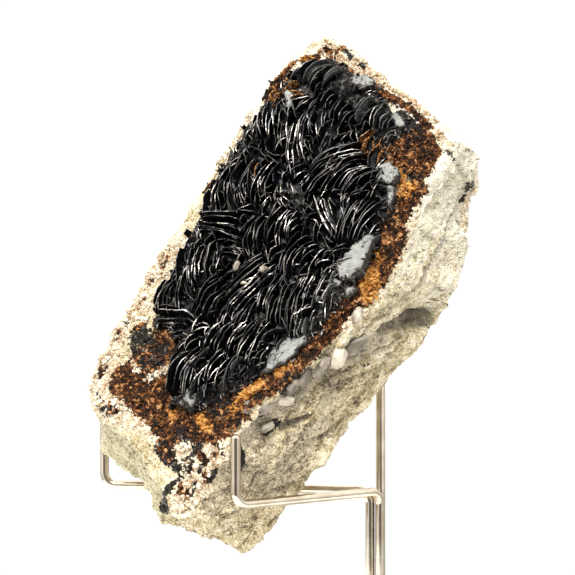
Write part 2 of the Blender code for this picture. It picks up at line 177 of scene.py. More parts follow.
def inBlock(tree, place):
    # places in the block's own frame, in millimetres
    turn = toWorld.to_euler()
    return Flow.add(tree, "ShaderNodeMapping", {"vector_type": "TEXTURE"},
                    {"Vector": place, "Location": tuple(toWorld.translation),
                     "Rotation": tuple(turn), "Scale": (mm, mm, mm)})


def stored(tree, name):
    return Flow.add(tree, "ShaderNodeAttribute", {"attribute_name": name}, out="Fac")


def feed(shader, **values):
    # Base_Color=... and so on: a flow is linked, a number is set on the socket
    for name, value in values.items():
        entry = shader.inputs[name.replace("_", " ")]
        if isinstance(value, Flow):
            value.socket.id_data.links.new(value.socket, entry)
        else:
            entry.default_value = value


def bumped(tree, height, strength, distance):
    return Flow.add(tree, "ShaderNodeBump", None,
                    {"Height": height, "Strength": strength, "Distance": distance})


# Shapes that repeat, made by Geometry Nodes

def newShape(name, inputs):
    tree = bpy.data.node_groups.new(name, "GeometryNodeTree")
    tree.interface.new_socket(name="Geometry", in_out="INPUT", socket_type="NodeSocketGeometry")
    for label, (kind, value) in inputs.items():
        entry = tree.interface.new_socket(name=label, in_out="INPUT", socket_type="NodeSocket" + kind)
        if value is not None:
            entry.default_value = value
    tree.interface.new_socket(name="Geometry", in_out="OUTPUT", socket_type="NodeSocketGeometry")
    entry = tree.nodes.new("NodeGroupInput")
    return tree, {socket.name: Flow(socket) for socket in entry.outputs if socket.name}


def endShape(tree, geometry, material):
    whole = Flow.add(tree, "GeometryNodeSetMaterial", None, {"Geometry": geometry, "Material": material})
    leave = tree.nodes.new("NodeGroupOutput")
    tree.links.new(whole.socket, leave.inputs[0])


def grown(guide, tree, values):
    # the plain mesh that a shape tree makes from a guide mesh
    helper = bpy.data.objects.new("helper", guide)
    bpy.context.scene.collection.objects.link(helper)
    modifier = helper.modifiers.new("shape", "NODES")
    modifier.node_group = tree
    for item in tree.interface.items_tree:
        if item.in_out == "INPUT" and item.name in values:
            modifier[item.identifier] = values[item.name]
    graph = bpy.context.evaluated_depsgraph_get()
    mesh = bpy.data.meshes.new_from_object(helper.evaluated_get(graph), depsgraph=graph)
    bpy.data.objects.remove(helper)
    return mesh


def numbered(mesh, name, values, kind="FLOAT"):
    layer = mesh.attributes.new(name, kind, "POINT")
    field = "value" if kind == "FLOAT" else "vector"
    layer.data.foreach_set(field, np.asarray(values, np.float32).ravel())


def pointsOf(mesh):
    places = np.empty(len(mesh.vertices) * 3, np.float32)
    mesh.vertices.foreach_get("co", places)
    return places.reshape(-1, 3).astype(np.float64)


def finished(name, mesh, material, nodes, sharpest=38):
    # a piece with its place in its mesh, kept inside the solid model's box
    places = pointsOf(mesh)
    low, high = np.array(cadBox[0]), np.array(cadBox[1])
    mesh.vertices.foreach_set("co", np.clip(places, low + 2e-5, high - 2e-5).astype(np.float32).ravel())
    mesh.update()
    mesh.materials.clear()
    mesh.materials.append(material)
    mesh.shade_smooth()
    mesh.set_sharp_from_angle(angle=math.radians(sharpest))
    piece = bpy.data.objects.new(name, mesh)
    bpy.context.scene.collection.objects.link(piece)
    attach(piece, "root")
    if nodes:
        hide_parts(*nodes)
    print("stage:", name, len(mesh.polygons), "faces")
    return piece


# Distances in the block's frame

def segmentDistance(places, start, end):
    start, end = np.array(start, float), np.array(end, float)
    run = end - start
    share = np.clip((places - start) @ run / max(run @ run, 1e-9), 0, 1)
    return np.linalg.norm(places - start - share[:, None] * run, axis=1)


def softStep(values, low, high):
    share = np.clip((values - low) / (high - low), 0, 1)
    return share * share * (3 - 2 * share)


def strokes(places, rows, soft=0.45):
    # 1 along the rows of (start, end, radius), falling to 0 round them
    found = np.zeros(len(places))
    for start, end, radius in rows:
        away = segmentDistance(places, start, end)
        found = np.maximum(found, 1 - softStep(away, radius * (1 - soft), radius * (1 + soft)))
    return found


bed = {
    "outline": (
        (-21, 50), (-16, 54.5), (-5, 52.5), (6, 49), (14, 44), (13, 38), (17, 34), (22, 26), (25, 12),
        (25.5, -1), (24, -15), (18, -32), (13, -40), (6, -50), (0, -51), (-5, -46), (-7, -38),
        (-12, -34), (-17.5, -34), (-20.3, -28), (-20.8, -18), (-22.6, -9), (-23.2, 0), (-24.8, 8), (-26.1, 19), (-25.6, 31),
        (-24.4, 41),
    ),
    "bottom": -2.6,
    "edgeHeight": 0.5,
    "spacing": 0.85,
    "lumps": ((4.2, 1.3), (1.5, 0.8)),     # size and height of the ground's lumps
    "middleHeight": 1.7,
}


def beyondOutline(corners, places):
    # how far places (across, along) are outside a closed outline, negative inside
    corners = np.array(corners, float)
    away = np.full(len(places), 1e9)
    inside = np.zeros(len(places), bool)
    for start, end in zip(corners, np.roll(corners, -1, axis=0)):
        away = np.minimum(away, segmentDistance(places[:, :2], start, end))
        crosses = (start[1] > places[:, 1]) != (end[1] > places[:, 1])
        with np.errstate(divide="ignore", invalid="ignore"):
            at = start[0] + (end[0] - start[0]) * (places[:, 1] - start[1]) / (end[1] - start[1])
        inside ^= crosses & (at > places[:, 0])
    return np.where(inside, -away, away)


def beyondBed(places):
    return beyondOutline(bed["outline"], places)


# The block of rock

rock = {
    "corners": (
        (-23, 62.5, -3), (-13.5, 60.5, -3), (4.5, 55.5, -1.5), (19.4, 50.2, -1.5), (28, 48.5, -2),
        (28.8, 33, 0), (31.4, 17, 0), (32.3, 1, 0), (28.8, -14, 0), (20.6, -49.4, 0), (16, -75, -3.5),
        (2, -62, -0.5), (-19, -61, -1), (-25.5, -55.5, -1), (-27.8, -37, -0.5), (-26.9, -19, -1),
        (-27.2, 14.6, -1.5), (-28.4, 31.6, -1.5), (-28.5, 49, -1.5),
        (29.8, 51, -9.5), (31.2, 49.6, -14), (37.8, 33.5, -20), (44.6, 17.5, -20), (43.2, 3.5, -22),
        (38, -14, -22), (36, -27, -22), (36.5, -40, -22), (34, -52, -23), (32.2, -63.5, -24), (29.8, -72.8, -25),
        (19.4, -75.2, -25), (5.0, -77.2, -24),
        (-2, -71, -34), (-9.4, -68.9, -33), (-18, -69.5, -31), (-23.5, -68.6, -28), (-27, -63.2, -25),
        (-31.8, -59.2, -19), (-28, -62.5, -36),
        (-20, 50, -34), (22, 46, -30), (35, 12, -32), (33, -16, -33), (26, -50, -40), (20, -66, -41),
        (0, -66, -38.3), (-22, -61, -39), (-24, -20, -40), (-24, 20, -38),
    ),
    # hollows (negative) and lumps (positive): place, radius, height
    "dents": (
        ((41, 4, -15.6), 7.5, -3.5), ((39, -13, -21), 11, -2.2), ((37, -31, -21), 8, -1.8),
        ((24, -45, -6), 6, -1.5), ((34, -47, -24), 5, -1.4), ((-8, -66, -20), 8, -1.8),
        ((-20, -63, -14), 6, -1.2), ((6, -68, -16), 5, -1.4), ((43, 22, -12), 9, -1.4),
        ((38, 38, -14), 7, -1.2), ((-27, 30, -20), 12, -2.5), ((-26, -20, -22), 14, -3.0),
        ((0, 20, -39), 16, -2.5), ((8, -35, -42), 12, -2.0), ((5, 55, -18), 10, -2.4),
        ((22, -20, -37), 8, 1.6), ((-9.5, -73, -26.5), 14, -2.9), ((-28.5, -63.5, -23.5), 7, -2.0),
        ((-4, -74, -27.5), 11, -2.6),
    ),
    "vein": ((22, -49, -3), (27, -30, -3.5), (32, -17, -7), (38, -4, -12.5), (43, 8, -17)),
    "veinWidth": 5.0,
    "veinDepth": 2.3,
    "hollowDepth": 2.0,
    # ledges on the right side: points along and out of the face, how far it steps in below, how soon it comes back
    "ledges": (
        (((-42, -7.5), (-35, -6.0), (-28, -6.5), (-16, -10.0), (-5, -15.0), (9, -19.0)), 1.9, 4.0),
        (((-44, -12.0), (-36, -11.0), (-29, -9.5), (-19, -12.5), (-12, -18.5)), 1.3, 3.0),
        (((-60, -14.0), (-44, -12.5), (-32, -20.5)), 1.4, 3.5),
        (((-8, -4.5), (8, -8.5), (22, -9.5), (40, -11.0)), 0.7, 2.5),
        (((-70, -12.0), (-58, -17.0), (-46, -21.5)), 1.1, 3.0),
    ),
    "shadeWidth": 0.7,
    "lump": (19.0, 1.3),
    "chips": ((15.0, 1.5), (6.5, 0.85), (2.7, 0.66), (1.25, 0.44)),
    "layer": (1.9, 0.6),           # thickness and step of the layers on the sides
    "quietRim": 3.0,
    "sinkUnderBed": 2.2,
    "grain": 0.64,
    "wireClearance": 0.42,
}

# Colours of the crust, as strokes over the rock: start, end, radius
crust = {
    "rust": (
        ((18, 46.5, -1), (22, 45.5, -1), 1.5), ((18.5, 43.5, -1), (22, 42.5, -1), 2.6), ((23.5, 43, -1), (24.6, 37, 0), 3.0), ((8, 37, 0), (13, 36, 0), 3.0),
        ((13, 37, 0), (16, 42, 0), 3.4), ((20, 37, 0), (25.4, 31, 0), 3.6), ((25.4, 30, 0), (26.9, 24, 0), 3.0),
        ((26.6, 24, 0), (28.4, 19, 0), 2.9), ((28, 19, 0), (29.5, 12, 0), 3.2), ((29.5, 12, 0), (30, 4, 0), 3.2),
        ((27, 8, 0), (29.6, 0, 0), 3.4), ((29, -2, 0), (28, -8, 0), 3.4), ((27.8, -10, 0), (25.9, -17, 0), 3.0),
        ((25.8, -17, 0), (23.6, -26, 0), 2.3), ((23.6, -26, 0), (20.8, -35, 0), 2.4),
        ((18.5, -37, 0), (16.6, -42, 0), 2.8), ((16, -43, 0), (14, -48, 0), 3.8),
        ((14, -48, 0), (9, -52, 0), 4.2), ((0, -50, 0), (8, -55, 0), 4.6), ((9, -52, 0), (15, -52, 0), 3.2), ((0, -50, 0), (-6, -49, 0), 4.4),
        ((-9, -48, 0), (-14, -54, -1), 4.6), ((-14, -54, -1), (-17.5, -52, -1), 3.6),
        ((-13, -54, -1), (1, -59, 0), 4.4), ((1, -59, 0), (6, -62, -1), 3.2), ((-13, -36, 0), (-8, -43, 0), 3.2),
        ((-16, -43, 0), (-17, -48, 0), 2.8), ((-22, -38, 0), (-21, -36, 0), 1.0),
        ((-26, 49, 0), (-28, 37, 0), 1.8), ((-24, 52, -1), (-21.5, 54.5, -1), 1.5),
        ((-18, 55.5, -2), (-9, 54.7, -1), 0.8), ((-4, 53.5, -1), (12, 51.2, -1), 1.0),
        ((12, 51.2, -1), (20, 48.6, -1), 1.0),
    ),
    # specks of rust and soot in the pale crust
    "rustSpots": (
        ((14, -59, -1), (16, -60, -1), 1.1), ((14, -53, 0), (16, -54, 0), 1.4), ((12.5, -63, -1.5), (13, -64, -2), 0.9),
        ((17, -62, -2), (18, -64, -3), 0.9), ((15, -69, -3), (16, -71, -3), 1.0), ((13, -68, -2), (13.5, -70, -2.5), 0.8),
        ((-25, -16, 0), (-25, -20, 0), 0.8), ((-24, -13, 0), (-23, -14, 0), 0.6), ((-25, -30, 0), (-25, -31, 0), 0.6),
        ((-26, -41, 0), (-25, -43, 0), 0.7), ((-27, 5, -1), (-27, 9, -1), 0.6), ((-24, -52, -1), (-23, -54, -1), 1.2),
        ((-16, -59.5, -1), (-13, -60, -1), 0.8), ((17.5, -56, -1), (17, -57, -1), 0.8), ((-26, -23, 0), (-26, -25, 0), 0.7),
        ((-20, 57, -2), (-17, 58.5, -2), 1.0), ((-16.5, 60.5, -3), (-15.5, 60, -3), 0.7),
    ),
    "sootSpots": (
        ((19, -60, -2), (20, -64, -3.5), 0.9), ((12.5, -57, -0.5), (11.5, -60, -1), 0.9), ((16, -66, -2.5), (17, -69, -3), 0.8),
        ((15, -61, -1), (15.5, -63, -1.5), 0.6), ((-21, -58.5, -1), (-20, -59.2, -1), 0.6), ((18, -54, -1), (19, -56, -1.5), 0.7),
        ((-25, -38, 0), (-24.5, -39, 0), 0.6), ((-15, 60, -3), (-12.5, 58.5, -2.5), 1.0), ((-9, 57.5, -2), (-7, 57, -2), 0.8),
    ),
    "ochre": (
        ((19, 32, 0), (24, 30, 0), 2.6), ((26, 6, 0), (31, 1, 0), 3.4), ((25, 10, 0), (27, 8, 0), 2.0),
        ((8, -51, 0), (12, -52, 0), 1.5), ((16, -42, 0), (15, -45, 0), 1.4), ((0, -51, 0), (1, -54, 0), 1.2),
        ((-25, 52, -1), (-22, 53, -1), 1.4), ((9, 36, 0), (12, 36, 0), 1.6), ((16, -40, 0), (18, -35, 0), 1.4),
        ((-22, -36, 0), (-22, -35, 0), 1.2), ((21, -30, 0), (22, -26, 0), 1.6),
    ),
    # black soot, and, just below the quartz crystals, painted shadow under them
    "soot": (
        ((-19, -40, 0), (-12, -45, 0), 3.6), ((-12, -44, 0), (-12, -40, 0), 2.6),
        ((2.5, -62, -1), (6, -63.5, -1), 2.2), ((6, -63.5, -1), (12.7, -65.5, -2), 1.5),
        ((12, -66, -2), (10, -70, -2.4), 0.8), ((10.3, -70.5, -2.5), (10.5, -73.5, -5), 1.1),
        ((10, -74, -6), (6.2, -74.5, -17.8), 1.6), ((11, -41, 0), (14, -43, 0), 2.2),
        ((-2, -71, -33), (2, -71, -31), 1.6), ((-19, -60, -3), (-16, -61, -1), 1.6),
        ((11, -60, -1), (12, -64, -2), 1.6), ((6, -56, 0), (10, -58, -1), 1.8),
        ((23, -41, 0), (24, -42, -2), 0.8), ((26.5, -41.5, -5), (26, -45.5, -5), 1.4),
        ((25.2, -29, -1), (23.8, -33, -1), 1.7), ((22, -53, -3), (22, -57, -6), 1.6),
        ((11, 48.5, -1), (17, 46, -1), 2.0), ((15, 44, -1), (17, 43.5, -1), 2.0), ((4, -47, 0), (12, -45, 0), 3.4), ((23, 22, 0), (25, 22, 0), 1.6), ((23, 34, 0), (24, 33, 0), 1.4),
        ((27.6, 44.8, -1.5), (28.6, 43.9, -1.8), 0.7), ((33.4, 42.4, -13), (34.0, 41.4, -13.4), 0.8),
        ((34.9, 39.4, -13.8), (35.3, 38.4, -14), 0.7),
    ),
    "pink": (
        ((9.5, -60.5, -1), (16, -64, -2), 3.0), ((15.5, -60, -1), (17, -66, -2), 4.2),
        ((16, -65, -2), (16, -72, -3), 4.2), ((18.2, -54.5, -1), (17.6, -58, -1), 2.4),
        ((8, -72, -19), (9, -72, -21), 3.0), ((-18, -46, 0), (-14, -48, 0), 1.0),
        ((-10, -48, 0), (-7, -43, 0), 1.1), ((-26, -59, -10), (-15, -61, -1), 4.0),
        ((-24, -49, -1), (-22, -57, -1), 2.8), ((-26, -46, -1), (-26, -36, 0), 2.6),
        ((-24, -33, 0), (-25, -21, 0), 3.2), ((-25, -18, 0), (-24, -10, 0), 2.6),
        ((-20.5, 58, -2), (-14, 57.5, -2), 2.5), ((-12, 57.5, -2), (0, 55.5, -2), 1.8),
        ((29.8, 26, 0), (31.2, 20, 0), 1.3), ((29.8, -11, -1), (31, -6, -1), 1.5),
        ((-14, -59.5, -1), (-4, -60.5, -1), 1.8), ((-4, -61, -1), (1, -62, -1), 1.2),
        ((36, 41, -15), (40, 31, -18), 1.6), ((22, 48, -1), (27, 46, -1), 1.6), ((0, 55.6, -2), (20, 51.4, -2), 0.8),
        ((-29, 30, -2), (-28, 10, -1), 1.8),
    ),
    "hollow": (
        ((36.3, -4.6, -10.5), (39, 0, -14.2), 1.9), ((39, 0, -14.2), (42.6, 5.2, -19.9), 2.2),
        ((27.2, -41.5, -7.0), (31.5, -34.5, -10.0), 1.1),
    ),
    "grey": (
        ((17, -59, -1), (19, -66, -4), 4.0), ((21, -59, -4), (21, -67, -8), 4.0),
        ((17, -40, 0), (23, -43, -1), 4.0), ((25, -35, -1), (22, -41, 0), 3.6),
        ((24, -48, -5), (25, -57, -10), 5.0), ((29, -43, -11), (35, -34, -17), 3.0),
        ((31, -43, -15), (29, -56, -17), 5.0), ((32, -27, -10), (34, -21, -11), 2.6),
        ((34, 37, -11), (33, 44, -13), 2.6),
    ),
}

stand = {
    "wire": 2.6,
    "bendRadius": 3.6,
    "bendSteps": 12,
    "foot": 3.3,
    "armHeight": 47.6,
    "hookHeight": 18.5,
    "rightColumn": (25.6, 11.8),
    "leftColumn": (22.9, 13.1),
    "backColumn": (25.9, 14.8),
    "rightHook": (-13.4, -21.6),
    "leftHook": (-52.4, 30.0),
    "backRestTop": (26.2, 21.2, 90.0),
}


def wireCorners():
    arm, tip = stand["armHeight"], stand["armHeight"] + stand["hookHeight"]
    routes = {}
    for side, name in (("left", "leftArmWire"), ("right", "rightArmWire")):
        column, hook = stand[side + "Column"], stand[side + "Hook"]
        routes[name] = [(*column, stand["foot"]), (*column, arm), (*hook, arm), (*hook, tip)]
    column = stand["backColumn"]
    routes["backRestWire"] = [(*column, stand["foot"]), (*column, arm), stand["backRestTop"]]
    return {name: [Vector(place) * mm + shift for place in route] for name, route in routes.items()}


def chipHeight(place, size, tall):
    spot = Vector((place.x, place.y / 1.6, place.z)) / size
    seed = noise.voronoi(spot)[1][0]
    tilt = Vector([noise.noise(seed * 3.7 + Vector((0, 0, layer))) for layer in (0, 17, 41)])
    return tall * (noise.noise(seed * 2.3) + tilt.dot(spot - seed))


def reliefOf(places, normals):
    # how far the rock stands out at each place, in millimetres, and how strong the painted shade at the foot of its
    # ledges is
    size, tall = rock["lump"]
    height, shade = np.zeros(len(places)), np.zeros(len(places))
    wander = np.zeros(len(places))
    thick, step = rock["layer"]
    for i, place in enumerate(places):
        spot = Vector(place)
        height[i] = tall * noise.noise(spot / size)
        height[i] += sum(chipHeight(spot, size2, tall2) for size2, tall2 in rock["chips"])
        level = (spot.z + 1.6 * noise.noise(spot / 14)) / thick
        wide = Vector((spot.x / 9, spot.y / 9, math.floor(level) * 3.1))
        height[i] += step * noise.noise(wide) * (1 - abs(normals[i][2])) ** 2
        wander[i] = noise.noise(spot / 4.5) + 0.4 * noise.noise(spot / 1.8)
    for points, deep, width in rock["ledges"]:
        alongs, levels = np.array(points, float).T
        rise = places[:, 2] - np.interp(places[:, 1], alongs, levels) + wander
        ends = softStep(places[:, 1], alongs[0] - 3, alongs[0] + 2) - softStep(places[:, 1], alongs[-1] - 2, alongs[-1] + 3)
        below = ends * softStep(normals[:, 0], 0.2, 0.6) * (rise < 0)
        height -= deep * below * np.exp(np.minimum(rise, 0) / width)
        shade = np.maximum(shade, below * np.exp(np.minimum(rise, 0) / rock["shadeWidth"]))
    height -= rock["hollowDepth"] * softStep(strokes(places, crust["hollow"], 0.25), 0.2, 0.7)
    vein = np.zeros(len(places))
    for start, end in zip(rock["vein"], rock["vein"][1:]):
        away = segmentDistance(places, start, end)
        vein = np.maximum(vein, 1 - (away / rock["veinWidth"]) ** 2)
    height -= rock["veinDepth"] * vein
    for centre, radius, deep in rock["dents"]:
        share = np.linalg.norm(places - np.array(centre), axis=1) / radius
        height += np.where(share < 1, deep * (1 - np.minimum(share, 1) ** 2) ** 2, 0)
    front = places[:, 2] > -3
    away = beyondBed(places)
    nearBed = np.clip(1 - away / rock["quietRim"], 0, 1) * front
    height -= np.maximum(height, 0) * nearBed * 0.75
    height -= rock["sinkUnderBed"] * softStep(-away, 0.3, 3.0) * front
    return height, shade


def rockMesh(routes):
    bm = bmesh.new()
    for corner in rock["corners"]:
        bm.verts.new(Vector(corner) * mm)
    hull = bmesh.ops.convex_hull(bm, input=bm.verts)
    spare = set(hull["geom_interior"] + hull["geom_unused"])
    bmesh.ops.delete(bm, geom=[v for v in bm.verts if v in spare], context="VERTS")
    bmesh.ops.recalc_face_normals(bm, faces=bm.faces)
    mesh = bpy.data.meshes.new("rockHull")
    bm.to_mesh(mesh)
    bm.free()
    helper = bpy.data.objects.new("helper", mesh)
    bpy.context.scene.collection.objects.link(helper)
    remesh = helper.modifiers.new("grains", "REMESH")
    remesh.mode = "VOXEL"
    remesh.voxel_size = rock["grain"] * mm
    graph = bpy.context.evaluated_depsgraph_get()
    mesh = bpy.data.meshes.new_from_object(helper.evaluated_get(graph), depsgraph=graph)
    bpy.data.objects.remove(helper)
    places = pointsOf(mesh) / mm
    normals = np.empty(len(mesh.vertices) * 3, np.float32)
    mesh.vertex_normals.foreach_get("vector", normals)
    normals = normals.reshape(-1, 3).astype(np.float64)
    height, shade = reliefOf(places, normals)
    crustValues = {name: strokes(places, rows) for name, rows in crust.items()}
    places += normals * height[:, None]
    keepAway = stand["wire"] / 2 + rock["wireClearance"]
    for route in routes.values():
        for start, end in zip(route, route[1:]):
            start, end = toBlock @ start / mm, toBlock @ end / mm
            places = pushedClear(places, np.array(start), np.array(end), keepAway)
    mesh.vertices.foreach_set("co", (places * mm).astype(np.float32).ravel())
    away = beyondBed(places)
    # the rust reaches in to the plates, and gives way to the pale crust
    wide = strokes(places, [(start, end, radius * 1.9) for start, end, radius in crust["rust"]])
    crustValues["rust"] = np.maximum(crustValues["rust"], wide * (1 - softStep(away, 0.5, 3.5)))
    rustSpots, sootSpots = crustValues.pop("rustSpots"), crustValues.pop("sootSpots")
    crustValues["rust"] = np.maximum(crustValues["rust"] * (1 - 0.9 * crustValues["pink"]), rustSpots)
    crustValues["soot"] = np.maximum(crustValues["soot"], sootSpots)
    crustValues["pink"] *= 1 - np.maximum(rustSpots, sootSpots)
    for name, values in crustValues.items():
        numbered(mesh, name, values)
    numbered(mesh, "shade", shade)
    front = softStep(places[:, 2], -5.5, -2.0)
    numbered(mesh, "underBed", softStep(-away, -1.6, 0.6) * front)
    numbered(mesh, "front", front)
    numbered(mesh, "endFace", softStep(-normals[:, 1], 0.35, 0.8) * softStep(-places[:, 0], -12, -4))
    vein = np.min([segmentDistance(places, a, b) for a, b in zip(rock["vein"], rock["vein"][1:])], axis=0)
    numbered(mesh, "vein", 1 - softStep(vein, 1.5, 4.5))
    # painted light: faces turned to the left are marked, to be made paler as if lit from the upper left
    numbered(mesh, "leftSide", softStep(-normals[:, 0], 0.1, 0.7))
    return mesh


def pushedClear(places, start, end, keepAway):
    run = end - start
    share = np.clip((places - start) @ run / (run @ run), 0, 1)
    nearest = start + share[:, None] * run
    away = places - nearest
    gap = np.linalg.norm(away, axis=1)[:, None]
    return np.where(gap < keepAway, nearest + away * (keepAway / np.maximum(gap, 1e-6)), places)


# Finishes

def rockFinish():
    material, tree, shader, place = newFinish("paleRock")
    spot = inBlock(tree, place)
    broad = spot.noise(0.10, 3)
    patchy = spot.noise(0.50, 4, 0.6)
    grain = spot.noise(1.9, 3, 0.65)
    warp = spot.noise(0.09, 2)
    level = spot.part(2) + warp * 5.0
    side = 1 - stored(tree, "front")
    layers = Flow.add(tree, "ShaderNodeCombineXYZ", None, {
        0: spot.part(0) * 0.06, 1: spot.part(1) * 0.06, 2: level * 0.85}).noise(1.0, 4, 0.7)
    # every small grain has its own tone
    cell = spot.cells(1.75, out="Color")
    fine = spot.cells(3.1, out="Color").part(1)
    greyish = (stored(tree, "grey") + (patchy - 0.5) * 0.9).band(0.35, 0.80)
    murk = greyish * 0.10 + layers.band(0.48, 0.72) * side * 0.34 + (broad - 0.5) * 0.50
    coarse = spot.noise(0.28, 4, 0.65)
    # lighter towards the top of the block: partly a paler crust, partly painted light from above
    upper = spot.part(1).band(-10.0, 35.0)
    tone = cell.part(0) * 0.30 + fine * 0.25 + 0.20 - murk + (patchy - 0.5) * 0.5 + (coarse - 0.5) * 0.7 + upper * 0.46
    tone = tone - spot.part(1).band(50.0, 57.0) * 0.30
    cream = tone.band(0.0, 0.85).tint([
        (0.15, 0.12, 0.08), (0.38, 0.31, 0.18), (0.58, 0.49, 0.30), (0.72, 0.64, 0.44), (0.84, 0.78, 0.60),
        (0.93, 0.89, 0.76)])
    grey = tone.band(-0.05, 0.8).tint([
        (0.12, 0.105, 0.085), (0.36, 0.32, 0.255), (0.54, 0.49, 0.39), (0.66, 0.60, 0.48), (0.78, 0.73, 0.60)])
    lime = tone.band(-0.05, 0.8).tint([
        (0.11, 0.105, 0.07), (0.38, 0.35, 0.21), (0.58, 0.54, 0.33), (0.68, 0.64, 0.42), (0.77, 0.73, 0.53)])
    colour = (stored(tree, "endFace") * 0.85).between(cream, lime)
    colour = (greyish * 0.5).between(colour, grey)
    # painted shade at the foot of the ledges
    colour = (stored(tree, "shade") * 0.75).between(colour, (0.15, 0.12, 0.09))
    # granular white and pink crust
    pale = (cell.part(1) * 0.7 + fine * 0.3).band(0.05, 0.9).tint([
        (0.42, 0.28, 0.17), (0.70, 0.56, 0.40), (0.80, 0.71, 0.55), (0.85, 0.79, 0.65), (0.90, 0.86, 0.76)])
    crusty = (stored(tree, "pink") + (patchy - 0.5) * 0.8).band(0.35, 0.60)
    colour = crusty.between(colour, pale)
    streaky = Flow.add(tree, "ShaderNodeCombineXYZ", None, {
        0: spot.part(0) * 1.1, 1: spot.part(1) * 0.30, 2: spot.part(2) * 0.4}).noise(1.0, 4, 0.7)
    colour = (crusty * spot.part(0).band(4.0, 12.0) * streaky.band(0.50, 0.62) * 0.7).between(
        colour, streaky.band(0.52, 0.70).between((0.45, 0.27, 0.14), (0.09, 0.06, 0.05)))
    # painted light: faces turned to the left are made paler, as if lit from the upper left
    colour = (stored(tree, "leftSide") * 0.6).between(colour, (0.88, 0.84, 0.70))
    veined = (stored(tree, "vein") + (grain - 0.5) * 0.8 + (patchy - 0.5) * 0.8).band(0.35, 0.80)
    colour = (veined * 0.65).between(colour, grain.band(0.3, 0.7).between((0.20, 0.17, 0.14), (0.64, 0.585, 0.49)))
    hollow = (stored(tree, "hollow") + (grain - 0.5) * 0.5).band(0.35, 0.6)
    colour = (hollow * 0.9).between(colour, patchy.band(0.35, 0.65).between((0.20, 0.17, 0.14), (0.46, 0.41, 0.34)))
    # fine black specks, in clouds, and short dashes along the layers
    cloud = spot.noise(0.22, 3, 0.6).band(0.37, 0.60)
    specks = (1 - spot.cells(1.15).band(0.18, 0.28)) * cloud * spot.cells(1.15, out="Color").part(1).band(0.3, 0.5)
    dashes = Flow.add(tree, "ShaderNodeCombineXYZ", None, {
        0: spot.part(0) * 0.8, 1: spot.part(1) * 0.8, 2: level * 2.6}).noise(1.0, 2, 0.6).band(0.62, 0.68)
    # the layers that show on the right side run at a slant to the block
    slanted = Flow.add(tree, "ShaderNodeCombineXYZ", None, {
        0: spot.part(0) * 0.35, 1: (spot.part(1) * 0.68 - spot.part(2) * 0.73) * 0.24,
        2: (spot.part(1) * 0.73 + spot.part(2) * 0.68) * 1.0})
    streaks = slanted.noise(0.40, 4, 0.65).band(0.50, 0.64) * side * spot.noise(0.12, 2).band(0.40, 0.62)
    colour = (streaks * 0.35).between(colour, (0.54, 0.45, 0.27))
    # painted shade: thin dark slits along the slanted layers stand in for the shade in narrow crevices between them
    paintedCreviceShade = slanted.noise(1.1, 3, 0.65).band(0.57, 0.63) * side * spot.noise(0.15, 2).band(0.42, 0.58)
    # the specks and dashes are the stone's own dark marks; the slits are painted shade
    marks = specks.math("MAXIMUM", dashes * side * cloud * 0.7).math("MAXIMUM", paintedCreviceShade * 0.8)
    colour = (marks * 0.90).between(colour, (0.060, 0.052, 0.046))
    # rust, from dark brown to ochre
    ochre = (stored(tree, "ochre") + (patchy - 0.5) * 1.0).band(0.25, 0.75)
    rustTone = cell.part(2) * 0.25 + fine * 0.15 + 0.06 + (patchy - 0.5) * 2.3 + ochre * 0.52
    rusty = rustTone.band(0.0, 1.05).tint([
        (0.018, 0.009, 0.006), (0.05, 0.020, 0.010), (0.12, 0.045, 0.014), (0.24, 0.09, 0.020),
        (0.42, 0.18, 0.045), (0.58, 0.32, 0.11)])
    ragged = ((grain - 0.5) * 1.3 + (patchy - 0.5) * 1.2) * stored(tree, "rust").band(0.0, 0.35)
    rustMask = (stored(tree, "rust") + ragged).band(0.38, 0.60)
    colour = rustMask.between(colour, rusty)
    stain = (stored(tree, "rust") + (patchy - 0.5) * 1.6).band(0.10, 0.60) * 0.35
    colour = (stain * (1 - rustMask)).between(colour, (0.50, 0.28, 0.10))
    # black soot, and painted shadow just below the quartz crystals
    sootAndUnderShadowMask = (stored(tree, "soot") + (grain - 0.5) * 1.8 + (patchy - 0.5) * 2.6).band(0.48, 0.66)
    colour = sootAndUnderShadowMask.between(colour, (0.020, 0.017, 0.016))
    under = (stored(tree, "underBed") + (grain - 0.5) * 1.0).band(0.40, 0.62)
    colour = under.between(colour, (0.014, 0.010, 0.008))
    relief = grain * 0.45 + patchy * 0.9 - spot.cells(1.75) * 0.45 + fine * 0.12 + layers * side * 0.9
    feed(shader, Base_Color=colour, Roughness=0.86 - sootAndUnderShadowMask * 0.3, Specular_IOR_Level=0.25,
         Normal=bumped(tree, relief, 1.0, 0.0008))
    return material


def grainFinish(name, colours, rough, spread, blotchy, ochreLift=0.50, ochreColours=None, tipShade=0.0):
    # separate grains: each has its own tone, stored on it as grainTone
    material, tree, shader, place = newFinish(name)
    spot = inBlock(tree, place)
    fine = spot.noise(2.6, 3, 0.65)
    drift = spot.noise(0.35, 3, 0.6)
    ochre = (stored(tree, "ochre") + (drift - 0.5) * 0.9).band(0.3, 0.8)
    blotch = spot.noise(0.9, 2, 0.6)
    tone = stored(tree, "grainTone") * spread + (drift + blotch - 1.0) * blotchy + (fine - 0.5) * 0.3
    tone = tone + ochre * ochreLift + (0.75 - spread) * 0.5 - spot.part(1).band(44.0, 52.0) * tipShade
    colour = tone.band(0.0, 1.0).tint(colours)
    if ochreColours:
        colour = ochre.between(colour, tone.band(0.1, 1.0).tint(ochreColours))
    feed(shader, Base_Color=colour, Roughness=rough, Specular_IOR_Level=0.25,
         Normal=bumped(tree, fine, 0.8, 0.0003))
    return material


